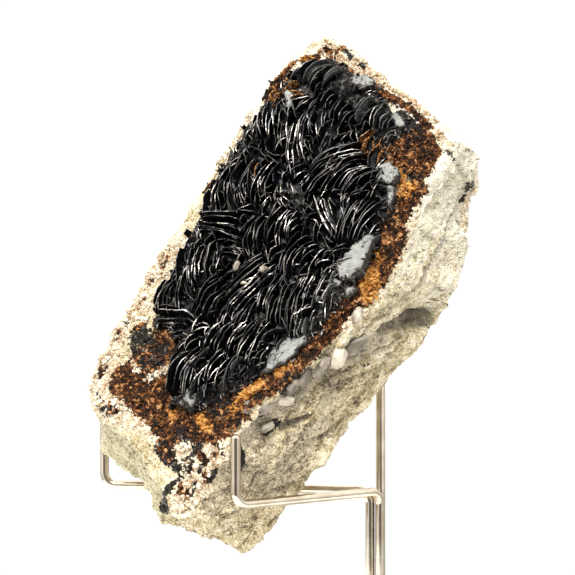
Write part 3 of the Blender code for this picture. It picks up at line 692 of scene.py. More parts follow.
def hematiteFinish():
    material, tree, shader, place = newFinish("blackHematite")
    spot = inBlock(tree, place)
    # painted glint: a pale metallic strip along the top edge of each plate, broken and patchy, stands in for the light
    # caught on the plate edges
    rim = stored(tree, "rim").band(0.972, 0.998)
    broken = spot.noise(0.24, 3, 0.65).band(0.44, 0.55)
    patch = spot.noise(0.10, 2).band(0.38, 0.58) * 0.88 + 0.12
    glintNicks = spot.noise(0.75, 2, 0.6).band(0.36, 0.50) * 0.65 + 0.35
    bright = rim * broken * glintNicks * patch * stored(tree, "shine")
    # the colour of the painted glint
    paintedGlintColour = spot.noise(0.13, 2).band(0.25, 0.75).tint([
        (0.52, 0.58, 0.80), (0.78, 0.78, 0.80), (0.92, 0.90, 0.85), (0.88, 0.85, 0.79), (0.70, 0.66, 0.76)])
    blackness = spot.noise(0.16, 2).band(0.5, 0.75).between((0.004, 0.004, 0.0045), (0.006, 0.007, 0.014))
    colour = bright.between(blackness, paintedGlintColour)
    # grey patches over the plates, where the metal is weaker and rougher
    greying = (stored(tree, "dusty") + (spot.noise(1.4, 4, 0.7) - 0.5) * 2.0).band(0.50, 0.85)
    colour = (greying * 0.5 * (1 - bright)).between(colour, (0.19, 0.20, 0.205))
    rusty = (stored(tree, "rusty") + (spot.noise(0.9, 4, 0.7) - 0.5) * 1.8).band(0.45, 0.70)
    stain = spot.noise(1.3, 3, 0.7).band(0.35, 0.65).tint([
        (0.02, 0.012, 0.009), (0.11, 0.042, 0.014), (0.36, 0.15, 0.035), (0.55, 0.33, 0.15)])
    colour = rusty.between(colour, stain)
    greying = greying.math("MAXIMUM", rusty)
    fine = spot.noise(1.6, 3, 0.6)
    feed(shader, Base_Color=colour, Metallic=bright * (1 - greying * 0.6), Roughness=0.22 + fine * 0.20 + greying * 0.35,
         Specular_IOR_Level=0.22, Normal=bumped(tree, fine, 0.35, 0.0002))
    return material


def flakeFinish():
    # pale dusty flakes at the edge of the plates
    material, tree, shader, place = newFinish("greyFlakes")
    spot = inBlock(tree, place)
    cloud = spot.noise(0.35, 4, 0.6)
    streak = spot.noise(1.3, 3, 0.65)
    colour = (cloud * 0.7 + streak * 0.3).band(0.30, 0.70).tint([
        (0.19, 0.205, 0.21), (0.27, 0.285, 0.285), (0.325, 0.34, 0.33), (0.40, 0.41, 0.385)])
    # darker towards each flake's outline
    darkNearOutline = (1 - stored(tree, "rim") + (streak - 0.5) * 0.8).band(0.50, 0.98)
    crack = 1 - (spot.noise(0.20, 3, 0.6) - 0.5).math("ABSOLUTE").band(0.002, 0.012)
    crumb = spot.noise(0.20, 2).band(0.56, 0.66) * streak.band(0.42, 0.56)
    dark = darkNearOutline.math("MAXIMUM", crack).math("MAXIMUM", crumb)
    colour = (dark * 0.92).between(colour, (0.030, 0.030, 0.032))
    feed(shader, Base_Color=colour, Roughness=0.50 + streak * 0.2, Specular_IOR_Level=0.3,
         Normal=bumped(tree, streak + cloud, 0.3, 0.0004))
    return material


def quartzFinish():
    material, tree, shader, place = newFinish("greyQuartz")
    spot = inBlock(tree, place)
    cloud = spot.noise(0.35, 3)
    pale = stored(tree, "pale") * 0.85 + (cloud - 0.5) * 1.4
    colour = pale.band(0.0, 1.0).tint([(0.16, 0.135, 0.11), (0.38, 0.335, 0.285), (0.60, 0.55, 0.46), (0.80, 0.76, 0.66)])
    feed(shader, Base_Color=colour, Roughness=0.25 + cloud * 0.3, Transmission_Weight=0.15, IOR=1.54,
         Normal=bumped(tree, spot.noise(1.2, 3), 0.4, 0.0003))
    return material


def wireFinish():
    material, tree, shader, place = newFinish("nickelWire")
    smear = place.noise(180.0, 3)
    hair = place.noise(2600.0, 2)
    colour = smear.band(0.35, 0.7).between((0.56, 0.49, 0.40), (0.68, 0.62, 0.53))
    feed(shader, Base_Color=colour, Metallic=1.0, Roughness=0.09 + smear * 0.08,
         Normal=bumped(tree, hair, 0.12, 0.00005))
    return material


def baseFinish():
    material, tree, shader, place = newFinish("turnedSteel")
    low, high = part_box("stand_base")
    middle = ((low[0] + high[0]) / 2, (low[1] + high[1]) / 2, 0)
    centred = Flow.add(tree, "ShaderNodeMapping", None, {"Vector": place, "Location": tuple(-m for m in middle)})
    flat = centred.vector("MULTIPLY", (1, 1, 0))
    ring = Flow.add(tree, "ShaderNodeVectorMath", {"operation": "LENGTH"}, {0: flat}, out="Value")
    turned = Flow.add(tree, "ShaderNodeTexNoise", {"noise_dimensions": "1D"},
                      {"W": ring * 3500.0, "Scale": 1.0, "Detail": 3.0})
    smear = place.noise(60.0, 3)
    colour = smear.band(0.35, 0.7).between((0.58, 0.56, 0.53), (0.66, 0.64, 0.61))
    feed(shader, Base_Color=colour, Metallic=1.0, Roughness=0.24 + turned * 0.16,
         Normal=bumped(tree, turned, 0.15, 0.00004))
    return material


# Grains scattered over the crust

def grainShape():
    tree, given = newShape("scatteredGrains", {
        "Zone": ("String", ""), "Perarea": ("Float", 1e6), "Smallest": ("Float", 0.3), "Largest": ("Float", 0.8),
        "Seed": ("Int", 1), "Material": ("Material", None)})
    zone = Flow.add(tree, "GeometryNodeInputNamedAttribute", {"data_type": "FLOAT"}, {"Name": given["Zone"]})
    points = Flow.add(tree, "GeometryNodeDistributePointsOnFaces", {"distribute_method": "RANDOM"},
                      {"Mesh": given["Geometry"], "Density": zone.band(0.25, 0.75) * given["Perarea"],
                       "Seed": given["Seed"]})
    tone = Flow.add(tree, "FunctionNodeRandomValue", {"data_type": "FLOAT"},
                    {"Min": 0.0, "Max": 1.0, "Seed": given["Seed"] + 7})
    points = Flow.add(tree, "GeometryNodeStoreNamedAttribute", {"data_type": "FLOAT", "domain": "POINT"},
                      {"Geometry": points, "Name": "grainTone", "Value": tone})
    ball = Flow.add(tree, "GeometryNodeMeshIcoSphere", None, {"Radius": 0.5, "Subdivisions": 1})
    turn = Flow.add(tree, "FunctionNodeRandomValue", {"data_type": "FLOAT_VECTOR"},
                    {"Min": (0, 0, 0), "Max": (6.28, 6.28, 6.28), "Seed": given["Seed"] + 1})
    share = Flow.add(tree, "FunctionNodeRandomValue", {"data_type": "FLOAT"},
                     {"Min": 0.0, "Max": 1.0, "Seed": given["Seed"] + 2}) ** 2
    width = given["Smallest"] + (given["Largest"] - given["Smallest"]) * share
    stretch = Flow.add(tree, "FunctionNodeRandomValue", {"data_type": "FLOAT_VECTOR"},
                       {"Min": (0.6, 0.45, 0.4), "Max": (1.9, 1.0, 0.9), "Seed": given["Seed"] + 3})
    points = Flow.add(tree, "GeometryNodeStoreNamedAttribute", {"data_type": "FLOAT", "domain": "POINT"},
                      {"Geometry": points, "Name": "grainWidth", "Value": width})
    width = Flow.add(tree, "GeometryNodeInputNamedAttribute", {"data_type": "FLOAT"}, {"Name": "grainWidth"})
    scale = Flow.add(tree, "ShaderNodeVectorMath", {"operation": "SCALE"}, {"Vector": stretch, "Scale": width})
    copies = Flow.add(tree, "GeometryNodeInstanceOnPoints", None,
                      {"Points": points, "Instance": ball, "Rotation": turn, "Scale": scale})
    whole = Flow.add(tree, "GeometryNodeRealizeInstances", None, {"Geometry": copies})
    rough = Flow.add(tree, "FunctionNodeRandomValue", {"data_type": "FLOAT_VECTOR"},
                     {"Min": (-0.2, -0.2, -0.2), "Max": (0.2, 0.2, 0.2), "Seed": given["Seed"] + 4})
    rough = Flow.add(tree, "ShaderNodeVectorMath", {"operation": "SCALE"}, {"Vector": rough, "Scale": width})
    whole = Flow.add(tree, "GeometryNodeSetPosition", None, {"Geometry": whole, "Offset": rough})
    endShape(tree, whole, given["Material"])
    return tree


def scattered(guide, tree, zone, perArea, sizes, seed, material):
    return grown(guide, tree, {"Zone": zone, "Perarea": perArea * 1e6, "Smallest": sizes[0] * mm,
                               "Largest": sizes[1] * mm, "Seed": seed, "Material": material})


# Hematite plates

# Groups of plates: the first and the last plate of a group, and how many the photograph shows.
# A plate is where its trace starts and ends (across, along) and how far the trace bows to its left.
fans = {
    "bigArch": ((-0.9, 17.8, 6.8, 36.3, 5.3), (11.0, 20.7, 15.2, 30.9, 2.1), 13),
    "bundle": ((-0.3, 13.2, 4.5, 29.0, 1.3), (4.3, 17.4, 7.7, 29.5, 1.1), 6),
    "rightFan": ((17.5, 6.5, 13.9, 20.1, 1.3), (20.1, 9.1, 21.3, 24.1, 2.2), 8),
    "vFan": ((2.2, 14.4, 17.2, 5.1, -1.2), (8.9, 18.3, 14.8, 12.5, -0.2), 8),
    "steepTop": ((1.7, 39.2, 2.5, 47.9, 0.9), (10.6, 40.5, 9.8, 47.7, 1.1), 7),
    "midTop": ((-12.8, 40.7, -12.9, 46.8, 0.8), (-1.0, 36.2, -0.2, 43.3, 1.1), 8),
    "tip": ((-21.2, 42.9, -17.6, 52.1, 1.3), (-12.7, 44.8, -9.8, 52.9, 1.3), 8),
    "upperLeft": ((-20.7, 23.2, -25.4, 30.4, 1.1), (-10.8, 23.9, -18.1, 35.9, 1.0), 9),
    "needles": ((-3.2, 15.7, -13.3, 34.1, 1.3), (-6.0, 29.5, -10.4, 39.5, 1.4), 8),
    "leftArch": ((-14.0, 2.6, -21.1, 19.0, 4.1), (-6.9, 6.0, -11.1, 19.8, 3.1), 8),
    "leftEdge": ((-20.0, -1.7, -23.9, 8.3, 1.0), (-14.0, 1.6, -21.1, 10.3, 1.2), 6),
    "sheaf": ((-22.1, -3.1, -12.1, 2.2, -0.4), (-20.7, -6.3, -7.2, -3.2, 0.6), 6),
    "centre": ((-1.7, -8.2, -6.9, 6.0, 2.9), (4.3, -0.1, 1.5, 10.9, 1.5), 9),
    "cross": ((1.1, 2.8, 4.0, 9.5, 0.4), (7.2, -0.6, 10.6, 6.3, 0.3), 4),
    "lowerLeft": ((-7.9, -27.4, -6.1, -14.6, 3.1), (5.9, -29.8, 5.7, -13.4, 2.1), 11),
    "longSlant": ((-4.0, -17.7, 1.0, -4.6, 0.4), (1.0, -24.4, 5.6, -5.2, 0.1), 7),
    "lowerMid": ((2.2, -36.1, 3.5, -24.1, 1.7), (12.9, -33.6, 11.5, -19.4, 1.5), 8),
    "bottomFan": ((-0.0, -51.6, -0.5, -33.1, 3.6), (10.2, -44.3, 8.6, -30.9, 1.9), 9),
    "tall": ((11.3, -22.6, 8.1, -9.1, 1.5), (20.6, -19.6, 15.0, -6.8, 0.9), 9),
    "bright": ((15.9, -11.7, 14.8, -1.8, 0.2), (19.1, -10.7, 17.7, -0.4, 0.2), 5),
    "leftLow": ((-18.4, -32.4, -19.0, -22.4, 1.7), (-12.2, -29.6, -17.5, -18.7, 0.8), 5),
    "leftTall": ((-13.4, -23.8, -20.8, -10.7, 1.4), (-7.8, -17.1, -13.5, -6.4, 1.4), 7),
    "shelf": ((-19.5, -32.3, -11.1, -28.7, 0.6), (-17.7, -35.0, -9.7, -30.8, -0.3), 3),
    "dark": ((9.2, -9.8, 5.9, 1.4, 1.2), (13.7, -3.7, 15.1, 5.3, 1.2), 5),
    "rightLow": ((20.7, -22.7, 17.6, -11.8, 0.7), (25.1, -18.6, 22.7, -9.8, 0.3), 5),
    "lowRim": ((16.6, -37.2, 15.9, -25.2, 1.5), (21.5, -31.0, 21.5, -22.9, 0.6), 5),
}

plates = {
    "tall": 6.1,
    "thick": 0.42,
    "root": -1.0,
    "share": 1.5,            # plates made for each one counted
    "fillSpacing": 1.15,
    "fillGap": 0.75,
    "fillLength": (2.2, 7.5),
    "lean": 1.6,
    "edgeRoom": 0.5,
    "shortRim": 4.5,         # plates within this distance of the edge are shorter
    "rimShare": 0.42,
    # the plates near the tip carry less of the painted glint
    "tipDullness": 0.35,      # how much less the plates near the tip shine
    "seed": 2,
    # places where the plates are greyer
    "dusty": (
        ((20, -8, 0), (22, -4, 0), 3.0), ((22, -29, 0), (23, -18, 0), 4.0), ((4, -49, 0), (4, -43, 0), 2.6),
        ((10, -38, 0), (11, -35, 0), 2.2), ((-2, 51, 0), (0, 52, 0), 2.4), ((7, 47, 0), (14, 45, 0), 3.4),
        ((18, 28, 0), (18.5, 33, 0), 2.4), ((22, 24, 0), (23, 26, 0), 2.0), ((22, 3, 0), (23, 11, 0), 3.2),
        ((23, -4, 0), (25, 0, 0), 2.4), ((-20, 43, 0), (-14, 48, 0), 2.6), ((-12, 49, 0), (-4, 46, 0), 3.0),
        ((9, 41, 0), (14, 38, 0), 3.4), ((0, 43, 0), (4, 43, 0), 2.6),
    ),
    # duller and shinier: where the painted glint on the plate rims is weaker, and where it is stronger
    "duller": (
        ((7.5, -3.6, 0), (15.5, -16, 0), 3.6), ((-0.5, 8.8, 0), (5.6, 11.9, 0), 3.5), ((-18.6, 24.2, 0), (-14.6, 18, 0), 3.2),
    ),
    "shinier": (
        ((-21, -1, 0), (-14, -3, 0), 3.2), ((-6.6, 5.6, 0), (-6, 6, 0), 3.2), ((1.6, 18.1, 0), (2, 20, 0), 3.4),
    ),
    "rusty": (
        ((-24, 38, 0), (-18.5, 39.5, 0), 2.2), ((5.5, 31.5, 0), (8.5, 32, 0), 1.3), ((9, 36, 0), (16, 36, 0), 2.6),
        ((-14.8, 15.2, 0), (-14.0, 15.2, 0), 0.8), ((-2.9, 15.7, 0), (-2.4, 16.2, 0), 0.8),
        ((-11.6, 6.5, 0), (-11.0, 6.5, 0), 0.7),
    ),
}


def plateShape():
    tree, given = newShape("crystalPlates", {
        "Columns": ("Int", 8), "Rows": ("Int", 4), "Root": ("Float", 0.0), "Taper": ("Float", 0.50),
        "Ragged": ("Float", 0.16), "Warp": ("Float", 0.0005), "Material": ("Material", None)})

    def kept(name, kind="FLOAT"):
        return Flow.add(tree, "GeometryNodeInputNamedAttribute", {"data_type": kind}, {"Name": name})

    def scaled(vector, amount):
        return Flow.add(tree, "ShaderNodeVectorMath", {"operation": "SCALE"}, {"Vector": vector, "Scale": amount})

    blank = Flow.add(tree, "GeometryNodeMeshCube", None, {
        "Size": (1, 1, 1), "Vertices X": given["Columns"], "Vertices Y": 2, "Vertices Z": given["Rows"]})
    cell = Flow.add(tree, "GeometryNodeInputPosition")
    blank = Flow.add(tree, "GeometryNodeStoreNamedAttribute", {"data_type": "FLOAT_VECTOR", "domain": "POINT"},
                     {"Geometry": blank, "Name": "cell", "Value": cell})
    copies = Flow.add(tree, "GeometryNodeInstanceOnPoints", None,
                      {"Points": given["Geometry"], "Instance": blank})
    whole = Flow.add(tree, "GeometryNodeRealizeInstances", None, {"Geometry": copies})
    cell = kept("cell", "FLOAT_VECTOR")
    share = cell.part(0) + 0.5
    across = cell.part(1)
    rise = 1 - (0.5 - cell.part(2)) ** 1.75
    start, end = kept("traceStart", "FLOAT_VECTOR"), kept("traceEnd", "FLOAT_VECTOR")
    chord = end.vector("SUBTRACT", start)
    run = chord.vector("NORMALIZE")
    left = Flow.add(tree, "ShaderNodeCombineXYZ", None, {0: run.part(1) * -1.0, 1: run.part(0), 2: 0.0})
    swell = share * (1 - share) * 4.0
    seed = kept("seed")
    peak = 0.32 + seed * 0.36
    tent = 1 - (share - peak).math("ABSOLUTE") / peak.math("MAXIMUM", 1 - peak)
    wander = Flow.add(tree, "ShaderNodeCombineXYZ", None, {0: share * 3.0 + seed * 17.0, 1: seed * 31.0, 2: 0.0})
    jagged = (wander.noise(1.7, 2, 0.7) - 0.5) * given["Ragged"] * 2.0
    height = kept("tall") * (0.86 + 0.14 * swell.math("MAXIMUM", 0.0) ** 0.5) * (1 + jagged)
    thick = kept("thick") * (1 - given["Taper"] * rise) * (0.35 + 0.65 * swell.math("MAXIMUM", 0.0) ** 0.4)
    sideways = kept("bow") * (swell * 0.45 + tent * 0.55) + kept("lean") * rise * (0.6 + 0.4 * rise) + across * thick
    forwards = share + (0.5 - share) * rise * 0.12
    upwards = given["Root"] + (height - given["Root"]) * rise
    place = start.vector("ADD", scaled(chord, forwards)).vector("ADD", scaled(left, sideways))
    place = place.vector("ADD", Flow.add(tree, "ShaderNodeCombineXYZ", None, {2: upwards}))
    bent = place.noise(260.0, 2, 0.5, out=1).vector("SUBTRACT", (0.5, 0.5, 0.5))
    place = place.vector("ADD", scaled(bent, given["Warp"] * rise * 2.0))
    whole = Flow.add(tree, "GeometryNodeSetPosition", None, {"Geometry": whole, "Position": place})
    whole = Flow.add(tree, "GeometryNodeStoreNamedAttribute", {"data_type": "FLOAT", "domain": "POINT"},
                     {"Geometry": whole, "Name": "rim", "Value": rise})
    endShape(tree, whole, given["Material"])
    return tree


def plateRows(chance):
    # start, end, bow, height, lean of every plate: first the groups, then what fills the ground between them
    rows, samples, headings = [], [], []

    def keep(start, end, bow, tall, lean):
        # an end that would stand over the edge of the ground is drawn in
        for attempt in range(6):
            middle = (start + end) / 2
            over = beyondBed(np.array((start, end))) > -plates["edgeRoom"]
            start, end = start + (middle - start) * 0.18 * over[0], end + (middle - end) * 0.18 * over[1]
        room = -beyondBed(((start + end) / 2)[None])[0] / plates["shortRim"]
        tall *= plates["rimShare"] + (1 - plates["rimShare"]) * min(max(room, 0), 1)
        rows.append((start, end, bow, tall, lean))
        chord = end - start
        run = chord / max(np.linalg.norm(chord), 1e-6)
        left = np.array((-run[1], run[0]))
        for share in np.linspace(0, 1, 7):
            samples.append(start + chord * share + left * bow * 4 * share * (1 - share))
            headings.append(run)

    for first, last, count in fans.values():
        count = max(round(count * plates["share"]), 2)
        for index in range(count):
            share = index / (count - 1)
            row = np.array(first) + (np.array(last) - np.array(first)) * share
            start = row[:2] + np.array((chance.uniform(-0.6, 0.6), chance.uniform(-0.6, 0.6)))
            end = row[2:4] + np.array((chance.uniform(-0.6, 0.6), chance.uniform(-0.6, 0.6)))
            cut = chance.choice((0.0, 0.05, 0.1, 0.3)), chance.choice((0.0, 0.05, 0.1, 0.3))
            bow = row[4] * chance.uniform(0.75, 1.1) * (1 - sum(cut)) ** 2
            start, end = start + (end - start) * cut[0], end - (end - start) * cut[1]
            lean = plates["lean"] * (1 - 2 * share) * 0.7 + chance.uniform(-0.6, 0.6)
            keep(start, end, bow, plates["tall"] * chance.uniform(0.72, 1.0), lean)
    spots = []
    step = plates["fillSpacing"]
    for i in range(-20, 21):
        for j in range(-36, 37):
            spots.append((i * step + chance.uniform(-0.7, 0.7), j * step + chance.uniform(-0.7, 0.7)))
    spots = np.array(spots)
    spots = spots[beyondBed(spots) < 0.2]
    chance.shuffle(order := list(range(len(spots))))
    for index in order:
        spot = spots[index]
        away = np.linalg.norm(np.array(samples) - spot, axis=1)
        nearest = int(np.argmin(away))
        if away[nearest] < plates["fillGap"]:
            continue
        turn = chance.gauss(0, 0.38)
        heading = headings[nearest]
        run = np.array((heading[0] * math.cos(turn) - heading[1] * math.sin(turn),
                        heading[0] * math.sin(turn) + heading[1] * math.cos(turn)))
        half = chance.uniform(*plates["fillLength"]) / 2
        keep(spot - run * half, spot + run * half, chance.uniform(-0.2, 1.0),
             chance.uniform(2.8, 5.4), chance.uniform(-1.3, 1.3))
    return rows


def crumbRows(chance, count):
    # small broken plates standing every way, on the ground and round its edge
    rows = []
    while len(rows) < count:
        spot = np.array((chance.uniform(-28, 30), chance.uniform(-56, 58)))
        away = beyondBed(spot[None])[0]
        if away > 0.9 or (away < -2.5 and chance.random() < 0.35):
            continue
        turn, half = chance.uniform(0, math.pi), chance.uniform(0.4, 1.3)
        run = np.array((math.cos(turn), math.sin(turn)))
        tall = chance.uniform(0.8, 2.1) if away > -2.5 else chance.uniform(2.0, 4.4)
        rows.append((spot - run * half, spot + run * half, chance.uniform(-0.3, 0.3), tall, chance.uniform(-1.4, 1.4)))
    return rows


def guideOf(rows, chance, thick):
    mesh = bpy.data.meshes.new("plateGuide")
    mesh.from_pydata([(0, 0, 0)] * len(rows), [], [])
    starts = np.array([(*row[0], 0) for row in rows]) * mm
    ends = np.array([(*row[1], 0) for row in rows]) * mm
    numbered(mesh, "traceStart", starts, "FLOAT_VECTOR")
    numbered(mesh, "traceEnd", ends, "FLOAT_VECTOR")
    numbered(mesh, "bow", [row[2] * mm for row in rows])
    numbered(mesh, "tall", [row[3] * mm for row in rows])
    numbered(mesh, "lean", [row[4] * mm for row in rows])
    numbered(mesh, "thick", [thick * mm * chance.uniform(0.75, 1.15) for row in rows])
    numbered(mesh, "seed", [chance.random() for row in rows])
    middles = (starts + ends) / 2 / mm
    # how strongly each plate's rim carries the painted glint
    shine = 1 - plates["tipDullness"] * softStep(middles[:, 1], 28, 42)
    shine *= 1 + 0.6 * strokes(middles, plates["shinier"]) - 0.65 * strokes(middles, plates["duller"])
    numbered(mesh, "shine", shine * [chance.uniform(0.15, 1.0) ** 1.3 for row in rows])
    numbered(mesh, "dusty", strokes(middles, plates["dusty"]) * np.array([chance.uniform(0.5, 1.0) for row in rows]))
    numbered(mesh, "rusty", strokes(middles, plates["rusty"]))
    return mesh


def slabMesh(corners, bottom, spacing, ragged, heightOf):
    # a closed slab with a ragged outline, whose top is heightOf(place, distance in from the outline)
    outline = []
    corners = [Vector(corner) for corner in corners]
    for start, end in zip(corners, corners[1:] + corners[:1]):
        steps = max(int((end - start).length / (spacing * 1.4)), 1)
        for step in range(steps):
            spot = start.lerp(end, step / steps)
            wobble = [noise.noise(Vector((spot.x, spot.y, layer)) / 2.2) for layer in (3.3, 9.1)]
            outline.append(spot + Vector(wobble) * ragged)
    low, high = np.min(outline, axis=0) / spacing, np.max(outline, axis=0) / spacing
    inner = []
    for i in range(math.floor(low[0]), math.ceil(high[0]) + 1):
        for j in range(math.floor(low[1]), math.ceil(high[1]) + 1):
            spot = Vector(((i + 0.5 * (j % 2)) * spacing, j * spacing))
            wobble = [noise.noise(Vector((spot.x, spot.y, layer)) * 1.7) for layer in (0, 5)]
            inner.append(spot + Vector(wobble) * spacing * 0.35)
    away = beyondOutline(outline, np.array(inner))
    inner = [spot for spot, distance in zip(inner, away) if distance < -spacing]
    count = len(outline)
    rim = [(i, (i + 1) % count) for i in range(count)]
    facets = delaunay_2d_cdt(outline + inner, rim, [], 1, 1e-4)
    inside = np.maximum(-beyondOutline(outline, np.array(facets[0])), 0)
    bm = bmesh.new()
    depth = bm.verts.layers.float.new("rim")
    top = []
    for place, distance in zip(facets[0], inside):
        top.append(bm.verts.new(Vector((place.x, place.y, heightOf(place, distance))) * mm))
        top[-1][depth] = min(distance, 1.0)
    bottom = [bm.verts.new(Vector((place.x, place.y, bottom)) * mm) for place in facets[0][:count]]
    for corners in facets[2]:
        bm.faces.new([top[i] for i in corners])
    for i, j in rim:
        bm.faces.new((bottom[i], bottom[j], top[j], top[i]))
    bm.faces.new(bottom)
    bmesh.ops.recalc_face_normals(bm, faces=bm.faces)
    mesh = bpy.data.meshes.new("slab")
    bm.to_mesh(mesh)
    bm.free()
    return mesh


def groundHeight(place, distance):
    lumps = sum(tall * noise.noise(Vector((place.x, place.y, 0)) / size) for size, tall in bed["lumps"])
    share = float(softStep(np.array(distance), 0.2, 3.0))
    return bed["edgeHeight"] + share * max(bed["middleHeight"] + lumps * 1.3 - bed["edgeHeight"], -0.2)


def groundMesh():
    # the uneven ground that the plates grow from, let into the rock
    mesh = slabMesh(bed["outline"], bed["bottom"], bed["spacing"], 0.9, groundHeight)
    mesh.attributes.remove(mesh.attributes["rim"])
    places = pointsOf(mesh) / mm
    shows = places[:, 2] > bed["bottom"] + 0.5
    numbered(mesh, "edge", (1 - softStep(-beyondBed(places), 0.8, 3.0)) * shows)
    return mesh


def joined(name, meshes):
    helpers = []
    for mesh in meshes:
        helper = bpy.data.objects.new(name, mesh)
        bpy.context.scene.collection.objects.link(helper)
        helpers.append(helper)
    with bpy.context.temp_override(active_object=helpers[0], selected_editable_objects=helpers):
        bpy.ops.object.join()
    mesh = helpers[0].data
    bpy.data.objects.remove(helpers[0])
    mesh.transform(toWorld)
    mesh.update()
    return mesh


# Flat pale flakes: how far each stands out of the face, and its corners (across, along)
flakes = {
    "largest": (3.9, ((25.1, 13.9), (25.7, 10.4), (25.7, 7.3), (26.0, 3.8), (25.2, 0), (22.3, -0.5), (19.6, 1.9),
                      (19.8, 5.2), (20.8, 8.9), (22.3, 12.4))),
    "upper": (3.4, ((14.9, 32.0), (16.7, 34.2), (19.7, 33.2), (21.0, 30.7), (19.9, 28.1), (17.1, 28.2), (15.3, 30.3))),
    "upperLow": (2.9, ((19.9, 27.9), (22.2, 28.5), (23.8, 25.6), (23.8, 22.4), (22.5, 22.9), (20.6, 25.9))),
    "tip": (2.8, ((-6.2, 51.8), (-3.5, 53.4), (-0.4, 53.4), (0.7, 51.6), (-2, 49.8), (-5.2, 49.7))),
    "low": (2.7, ((16.8, -28.1), (17.1, -23.6), (19.1, -20.7), (21.9, -18.6), (23.3, -20.1), (22.6, -24), (20.9, -29.5),
                  (17.4, -33))),
    "small": (2.2, ((24.4, -1.6), (26.5, -0.3), (27.3, -1.9), (26.2, -3.6))),
    "crumbly": (2.9, ((19.6, -2.8), (21, -0.8), (23.1, -0.7), (23.5, -3.4), (21.4, -5.1))),
    "foot": (3.0, ((1.7, -46.2), (3.5, -45.6), (6, -47.7), (6.5, -49.9), (4.7, -50.2), (2.4, -48.3))),
    "shoulder": (2.2, ((10.2, 48.0), (13.0, 47.3), (14.6, 44.8), (12.2, 44.0), (10.0, 45.6))),
    "sliver": (3.7, ((-21.2, 39.6), (-18.7, 40.0), (-17.1, 38.7), (-15.7, 35.8), (-16.8, 35.3), (-18.6, 36.6))),
}
flakeRelief = {"bottom": -1.2, "spacing": 0.5, "ragged": 1.2, "rimDrop": 0.35, "plateSize": 2.6, "plateStep": 0.42}


def flakeMeshes():
    meshes = []
    for height, corners in flakes.values():
        def heightOf(place, distance, height=height):
            rim = float(softStep(np.array(distance), 0.0, 0.5))
            steps = chipHeight(Vector((place.x, place.y, height)), flakeRelief["plateSize"], flakeRelief["plateStep"])
            return height + steps + 0.25 * noise.noise(Vector((place.x, place.y, 1)) * 0.9) - flakeRelief["rimDrop"] * (1 - rim)
        mesh = slabMesh(corners, flakeRelief["bottom"], flakeRelief["spacing"], flakeRelief["ragged"], heightOf)
        rim = np.empty(len(mesh.vertices), np.float32)
        mesh.attributes["rim"].data.foreach_get("value", rim)
        shows = pointsOf(mesh)[:, 2] > 0
        numbered(mesh, "edge", 0.5 * (1 - rim) * shows)
        meshes.append(mesh)
    return meshes


# Crystals of quartz in the block's side and among the plates: place, radii, heading in degrees, paleness
quartz = {
    "pebble": ((30.6, -6.3, -0.9), (1.3, 2.1, 1.0), 10, 0.5),
    "prism": ((32.6, -12.3, -6.8), (2.2, 3.8, 1.9), -8, 0.15),
    "block": ((30.2, -18.2, -5.6), (2.3, 3.2, 1.9), 12, 0.7),
    "slab": ((28.3, -22.8, -4.0), (1.7, 3.3, 1.4), -6, 0.3),
    "wedge": ((26.3, -27.3, -2.6), (1.6, 2.9, 1.3), 14, 0.15),
    "smoky": ((25.1, -31.4, -1.6), (1.6, 2.3, 1.3), 0, 0.1),
    "stub": ((25.0, -35.4, -2.9), (3.1, 1.4, 1.4), 24, 0.75),
    "lump": ((21.0, -39.7, -1.3), (2.6, 2.5, 1.2), 30, 0.3),
    "crumb": ((18.0, -41.6, -0.6), (1.7, 2.0, 0.9), 50, 0.3),
    "chip": ((24.0, -43.5, -4.7), (1.4, 2.0, 1.1), -30, 0.3),
    "lens": ((-4.2, -10.9, 4.7), (0.8, 1.4, 0.7), 10, 0.35),
    "tuft": ((3.2, -8.5, 4.9), (1.1, 0.9, 0.9), 40, 0.5),
    "splash": ((0.3, -14.2, 4.8), (0.9, 0.4, 0.5), 30, 0.7),
}


def quartzMesh(chance):
    # each crystal is the hull of points on a drawn-out ball, so its faces are flat
    bm = bmesh.new()
    paleness = bm.verts.layers.float.new("pale")
    for place, radii, heading, pale in quartz.values():
        home = Matrix.Translation(Vector(place)) @ Matrix.Rotation(math.radians(heading), 4, "Z")
        points = []
        turns = [math.radians(60 * side + chance.uniform(-16, 16)) for side in range(6)]
        for level, ring in ((-1.0, 0.55), (-0.62, 1.0), (0.55, 1.05), (0.95, 0.5)):
            for angle in turns:
                wide = ring * chance.uniform(0.8, 1.1)
                spot = Vector((wide * math.cos(angle) * radii[0], (level + chance.uniform(-0.14, 0.14)) * radii[1],
                               wide * math.sin(angle) * radii[2]))
                points.append(bm.verts.new(home @ spot * mm))
                points[-1][paleness] = pale
        hull = bmesh.ops.convex_hull(bm, input=points)
        spare = set(hull["geom_interior"] + hull["geom_unused"])
        bmesh.ops.delete(bm, geom=[corner for corner in points if corner in spare], context="VERTS")
    bmesh.ops.recalc_face_normals(bm, faces=bm.faces)
    mesh = bpy.data.meshes.new("quartzLumps")
    bm.to_mesh(mesh)
    bm.free()
    mesh.transform(toWorld)
    return mesh


# The stand

def roundedRoute(corners):
    route = [corners[0]]
    for before, corner, after in zip(corners, corners[1:], corners[2:]):
        arriving, leaving = (corner - before).normalized(), (after - corner).normalized()
        turn = arriving.angle(leaving)
        radius = stand["bendRadius"] * mm
        centre = corner + (leaving - arriving).normalized() * (radius / math.cos(turn / 2))
        start = corner - arriving * radius * math.tan(turn / 2) - centre
        axis = arriving.cross(leaving)
        for step in range(stand["bendSteps"] + 1):
            route.append(centre + Matrix.Rotation(turn * step / stand["bendSteps"], 3, axis) @ start)
    return route + [corners[-1]]


